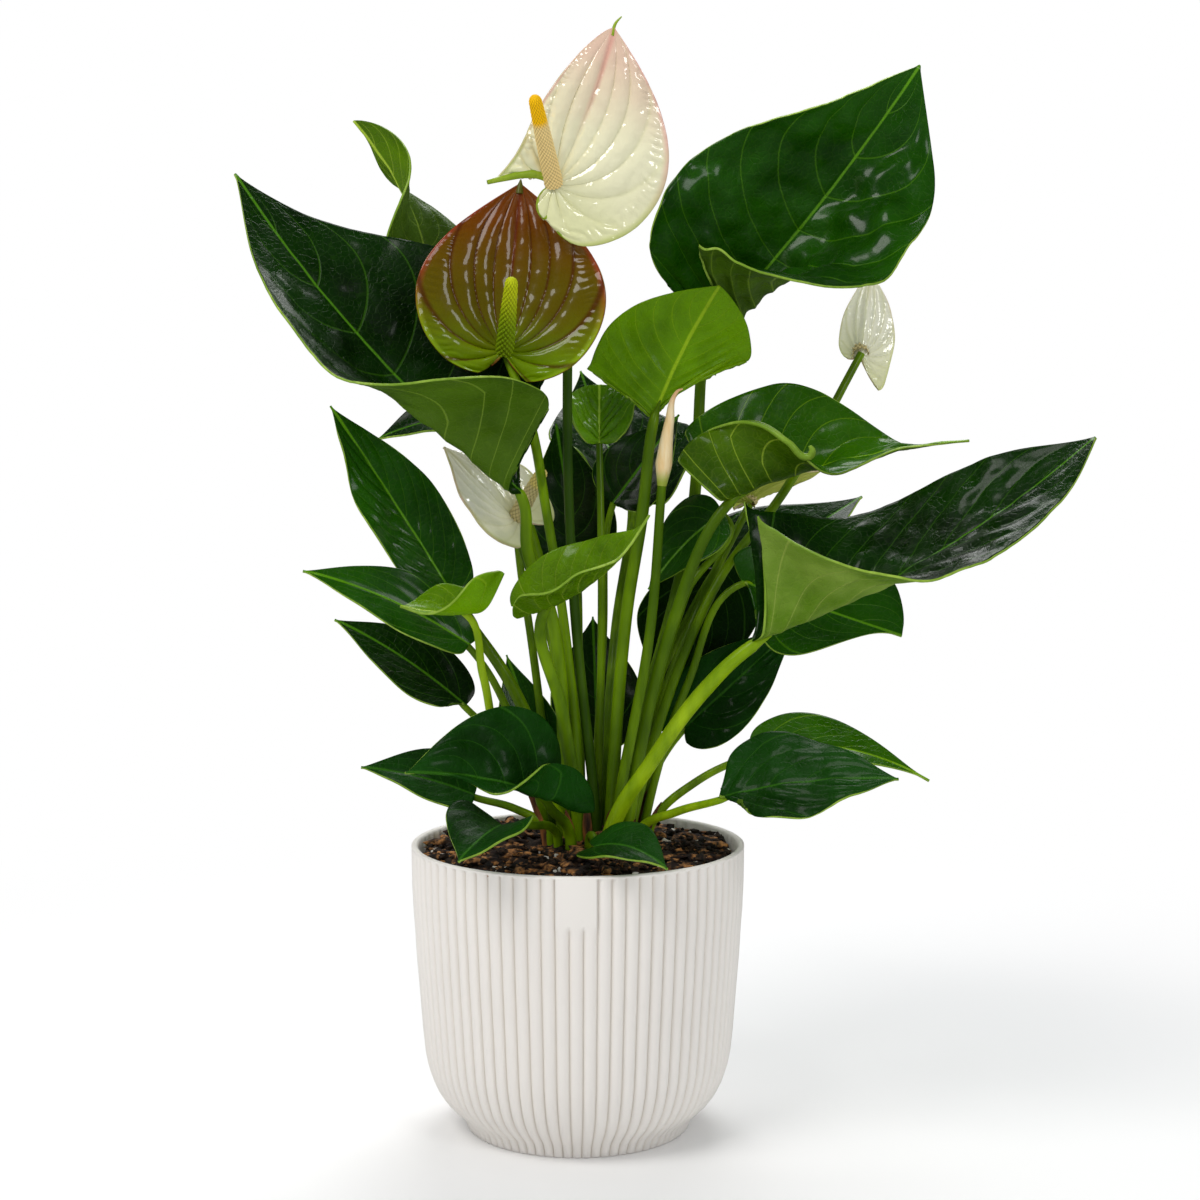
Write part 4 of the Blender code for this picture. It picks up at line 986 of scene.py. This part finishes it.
for number, (name, site, via, shape, goal) in enumerate(FLOWERS):
    if name == "white":             # it ends lower, which leaves room for a hook at its tip
        shape = dict(shape, tip=(15, -33, 452.5))
    blade = Blade(**shape)
    if name == "white":
        blade.bulge, blade.arch = 3.5, 6.0
    big = name in ("white", "bronze")
    rows, columns = (150, 110) if big else (64, 44)
    mesh = leaf_mesh("spathe_of_" + name, blade, rows, columns, 1.5 if big else 0.9,
                     SPATHE_WAVES.get(name, 0.5), arched=True, seed=40 + number)
    front, back, rim, slot = LOOKS[name]
    node = "spathe_" + name
    piece = dress("spathe_of_" + name, mesh, [front, back, rim], node)
    thicken(piece, SPATHE_THICKNESS)
    path = stalk_path(site, blade, 1.9, 1.0, via)[:-1]
    stalk("flower_stalk_" + name, path, [2.4, 2.3] + [2.0] * (len(path) - 3) + [1.7],
          flower_stalk_skin if name == "white" else stalk_skin, "flower_stem_" + name)
    if name == "white":             # its rear margins are rolled, and its tip ends in a hook
        rolled = [blade.at(0, u) + Vector((0, -0.6, -0.3))
                  for u in (-0.02, -0.15, -0.35, -0.6, -0.85, -1)]
        stalk("white_rolled_rim", rolled, [0.7, 1.6, 2.0, 1.7, 1.2, 0.9], lime_rim, node)
        inner = [blade.at(0, u) + Vector((0, -0.4, 0)) for u in (0.05, 0.25, 0.5, 0.7, 0.85, 1)]
        inner += [blade.at(s, 1) for s in (0.05, 0.1)]
        stalk("white_inner_rim", inner, [0.4, 0.7, 0.8, 0.8, 0.8, 0.7, 0.6, 0.3], lime_rim,
              node)
        hook = [blade.at(0.97, 0), blade.tip + Vector((0.3, 0, 1.5)),
                blade.tip + Vector((2.8, 0, 4.4))]
        stalk("white_hook", hook, [0.8, 0.6, 0.25], lime_rim, node)
    if name == "bronze":            # its tip is a short dry point
        point = [blade.at(0.96, 0), blade.at(0.99, 0), blade.tip + Vector((0.2, 0, 1.6))]
        stalk("bronze_tip", point, [1.6, 1.2, 0.3], tip_skin, node)
    skin, slot, bumps, pitch = SPADICES.get(name, COMMON_SPADIX)
    spadix("spadix_of_" + name, blade, goal, skin, "spadix_" + name, bumps, pitch)


# ---- Bud: a flower that is still closed. Its spathe is rolled round the spadix to a slim cream
# cone with a bent point, on a stalk of its own.

# Cream tissue with fine streaks, green where it meets the stalk and tan at the point.
bud_skin, tree = principled("bud_skin")
height = add(tree, "SeparateXYZ", Vector=add(tree, "TexCoord").outputs["Object"]).outputs[2]
streak = mottle(tree, 500.0, stretch=(1, 1, 0.1))
streaks = add(tree, "MapRange", SMOOTH, Value=streak, _1=0.3, _2=0.7)
above_foot = add(tree, "MapRange", SMOOTH, Value=height, _1=0.272, _2=0.279)
near_point = add(tree, "MapRange", SMOOTH, Value=height, _1=0.300, _2=0.312)
tone = add(tree, "Mix", BLEND, _0=streaks, _6="f8d494", _7="ffecc0")
tone = add(tree, "Mix", BLEND, _0=above_foot, _6="a0b03c", _7=tone)
surface(tree, Base_Color=add(tree, "Mix", BLEND, _0=near_point, _6=tone, _7="e0b080"),
        Roughness=0.35, Normal=add(tree, "Bump", Strength=0.3, Distance=0.0004, Height=streak))

start, bud_foot = crown_site(2, 305), Vector((35, 0, 271))
stalk("flower_stalk_bud", [start - Vector((0, 0, FOOT_DEPTH)), start + Vector((0, 0, 7)),
                           Vector((30, -5, 210)), bud_foot], [2.4, 2.3, 2.1, 1.9],
      stalk_skin, "flower_stem_bud")
cone = [bud_foot + Vector(step) for step in ((0, 0, 0), (0.8, 0, 9), (3, 0, 26),
                                             (6.2, -0.5, 39), (8.6, -0.5, 40.2))]
stalk("bud_spathe", cone, [2.0, 3.6, 2.1, 0.7, 0.3], bud_skin, "bud")


# ---- Crown: the short rootstock that every stalk grows from. It is buried in crumbs of the mix,
# and the dry sheaths of old leaves stand round the stalks.

KNOT_RADIUS, KNOT_TOP, KNOT_FALL = 27.0, 124.6, 6.0
CRUMBS_TOP, CRUMBS_FALL = 124.9, 5.2
KNOT_FLAT = 0.4                     # share of the radius within which the knot's top is flat

bm = bmesh.new()
bmesh.ops.create_grid(bm, x_segments=96, y_segments=24, size=1.0)
for v in bm.verts:
    angle, share = v.co.x * math.pi, (v.co.y + 1) / 2
    radius = KNOT_RADIUS * share
    x, y = CROWN_MIDDLE + radius * math.cos(angle), radius * math.sin(angle)
    z = KNOT_TOP - KNOT_FALL * ease((share - KNOT_FLAT) / (1 - KNOT_FLAT))
    z += 1.6 * noise.fractal(Vector((x, y, 1)) * 0.2, 1, 2, 4)
    v.co = Vector((x, y, z)) * MM
close(bm)
dress("crown_knot", to_mesh(bm, "crown_knot"), [peat], "crown")

# Dry leaf sheath: papery red-brown with dark fibres along it, and dull.
dry_sheath, tree = principled("sheath_detail")
streak = mottle(tree, 300.0, 4.0, stretch=(1, 1, 0.15))
tint = add(tree, "MapRange", SMOOTH, Value=mottle(tree, 50.0, 2.0), _1=0.35, _2=0.65)
tone = add(tree, "Mix", BLEND, _0=tint, _6="5e2a0a", _7="a8682a")
worn = add(tree, "MapRange", SMOOTH, Value=streak, _1=0.3, _2=0.7)
surface(tree, Base_Color=add(tree, "Mix", BLEND, _0=worn, _6="2a1206", _7=tone), Roughness=0.7,
        Normal=add(tree, "Bump", Strength=0.6, Distance=0.0005, Height=streak))

SHEATH_FOOT = 118.0
# Each is a strip that clasps its stalk and narrows to a point: place of the foot, height, half
# width, the way it faces in degrees and how far it leans out
SHEATHS = [((-15, -9), 30, 2.8, 200, 9), ((-3, -19), 21, 2.4, 245, 5), ((4, -17), 24, 2.2, 262, 3),
           ((21, -18), 17, 2.4, 300, 6), ((29, -9), 22, 2.6, 335, 7), ((-16, 4), 34, 3.0, 175, 9),
           ((26, 12), 26, 3.0, 30, 8), ((2, 22), 28, 3.0, 95, 7), ((13, -12), 19, 2.4, 285, 2)]
bm = bmesh.new()
for (x, y), height, half, facing, lean in SHEATHS:
    facing = math.radians(facing)
    made = bmesh.ops.create_grid(bm, x_segments=12, y_segments=18, size=1.0)
    for v in made["verts"]:
        share, u = (v.co.y + 1) / 2, v.co.x
        wide = math.radians(75) * math.cos(math.pi / 2 * share ** 1.6) ** 0.7 + 0.03
        angle = facing + u * wide
        out = half * (1 + 0.12 * math.sin(7 * share + x)) - 0.5 * abs(u) * share
        away = lean * share ** 2 - half
        v.co = Vector((x + out * math.cos(angle) + away * math.cos(facing),
                       y + out * math.sin(angle) + away * math.sin(facing),
                       SHEATH_FOOT + height * share)) * MM
piece = dress("dry_sheaths", to_mesh(bm, "dry_sheaths"), [dry_sheath], "crown")
shell = piece.modifiers.new("thickness", "SOLIDIFY")
shell.thickness = 0.4 * MM

# Loose crumbs of bark and peat, which bury the knot between the stalks
draw = random.Random(12)
bm = bmesh.new()
for _ in range(360):
    radius, angle = KNOT_RADIUS * math.sqrt(draw.random()), draw.uniform(0, math.tau)
    x, y = CROWN_MIDDLE + radius * math.cos(angle), radius * math.sin(angle)
    z = CRUMBS_TOP - CRUMBS_FALL * ease((radius / KNOT_RADIUS - KNOT_FLAT) / (1 - KNOT_FLAT))
    made = bmesh.ops.create_icosphere(bm, subdivisions=1, radius=draw.uniform(0.8, 2.6) * MM)
    for v in made["verts"]:
        v.co = v.co * draw.uniform(0.7, 1.2)
    turn = Matrix.Rotation(draw.uniform(0, math.tau), 4, "Z")
    stretch = Matrix.Diagonal((draw.uniform(1.0, 2.4), draw.uniform(0.6, 1.0), 0.6, 1))
    bmesh.ops.transform(bm, verts=made["verts"],
                        matrix=Matrix.Translation(Vector((x, y, z)) * MM) @ turn @ stretch)
dress("crown_crumbs", to_mesh(bm, "crown_crumbs", smooth=False), [bark], "crown")
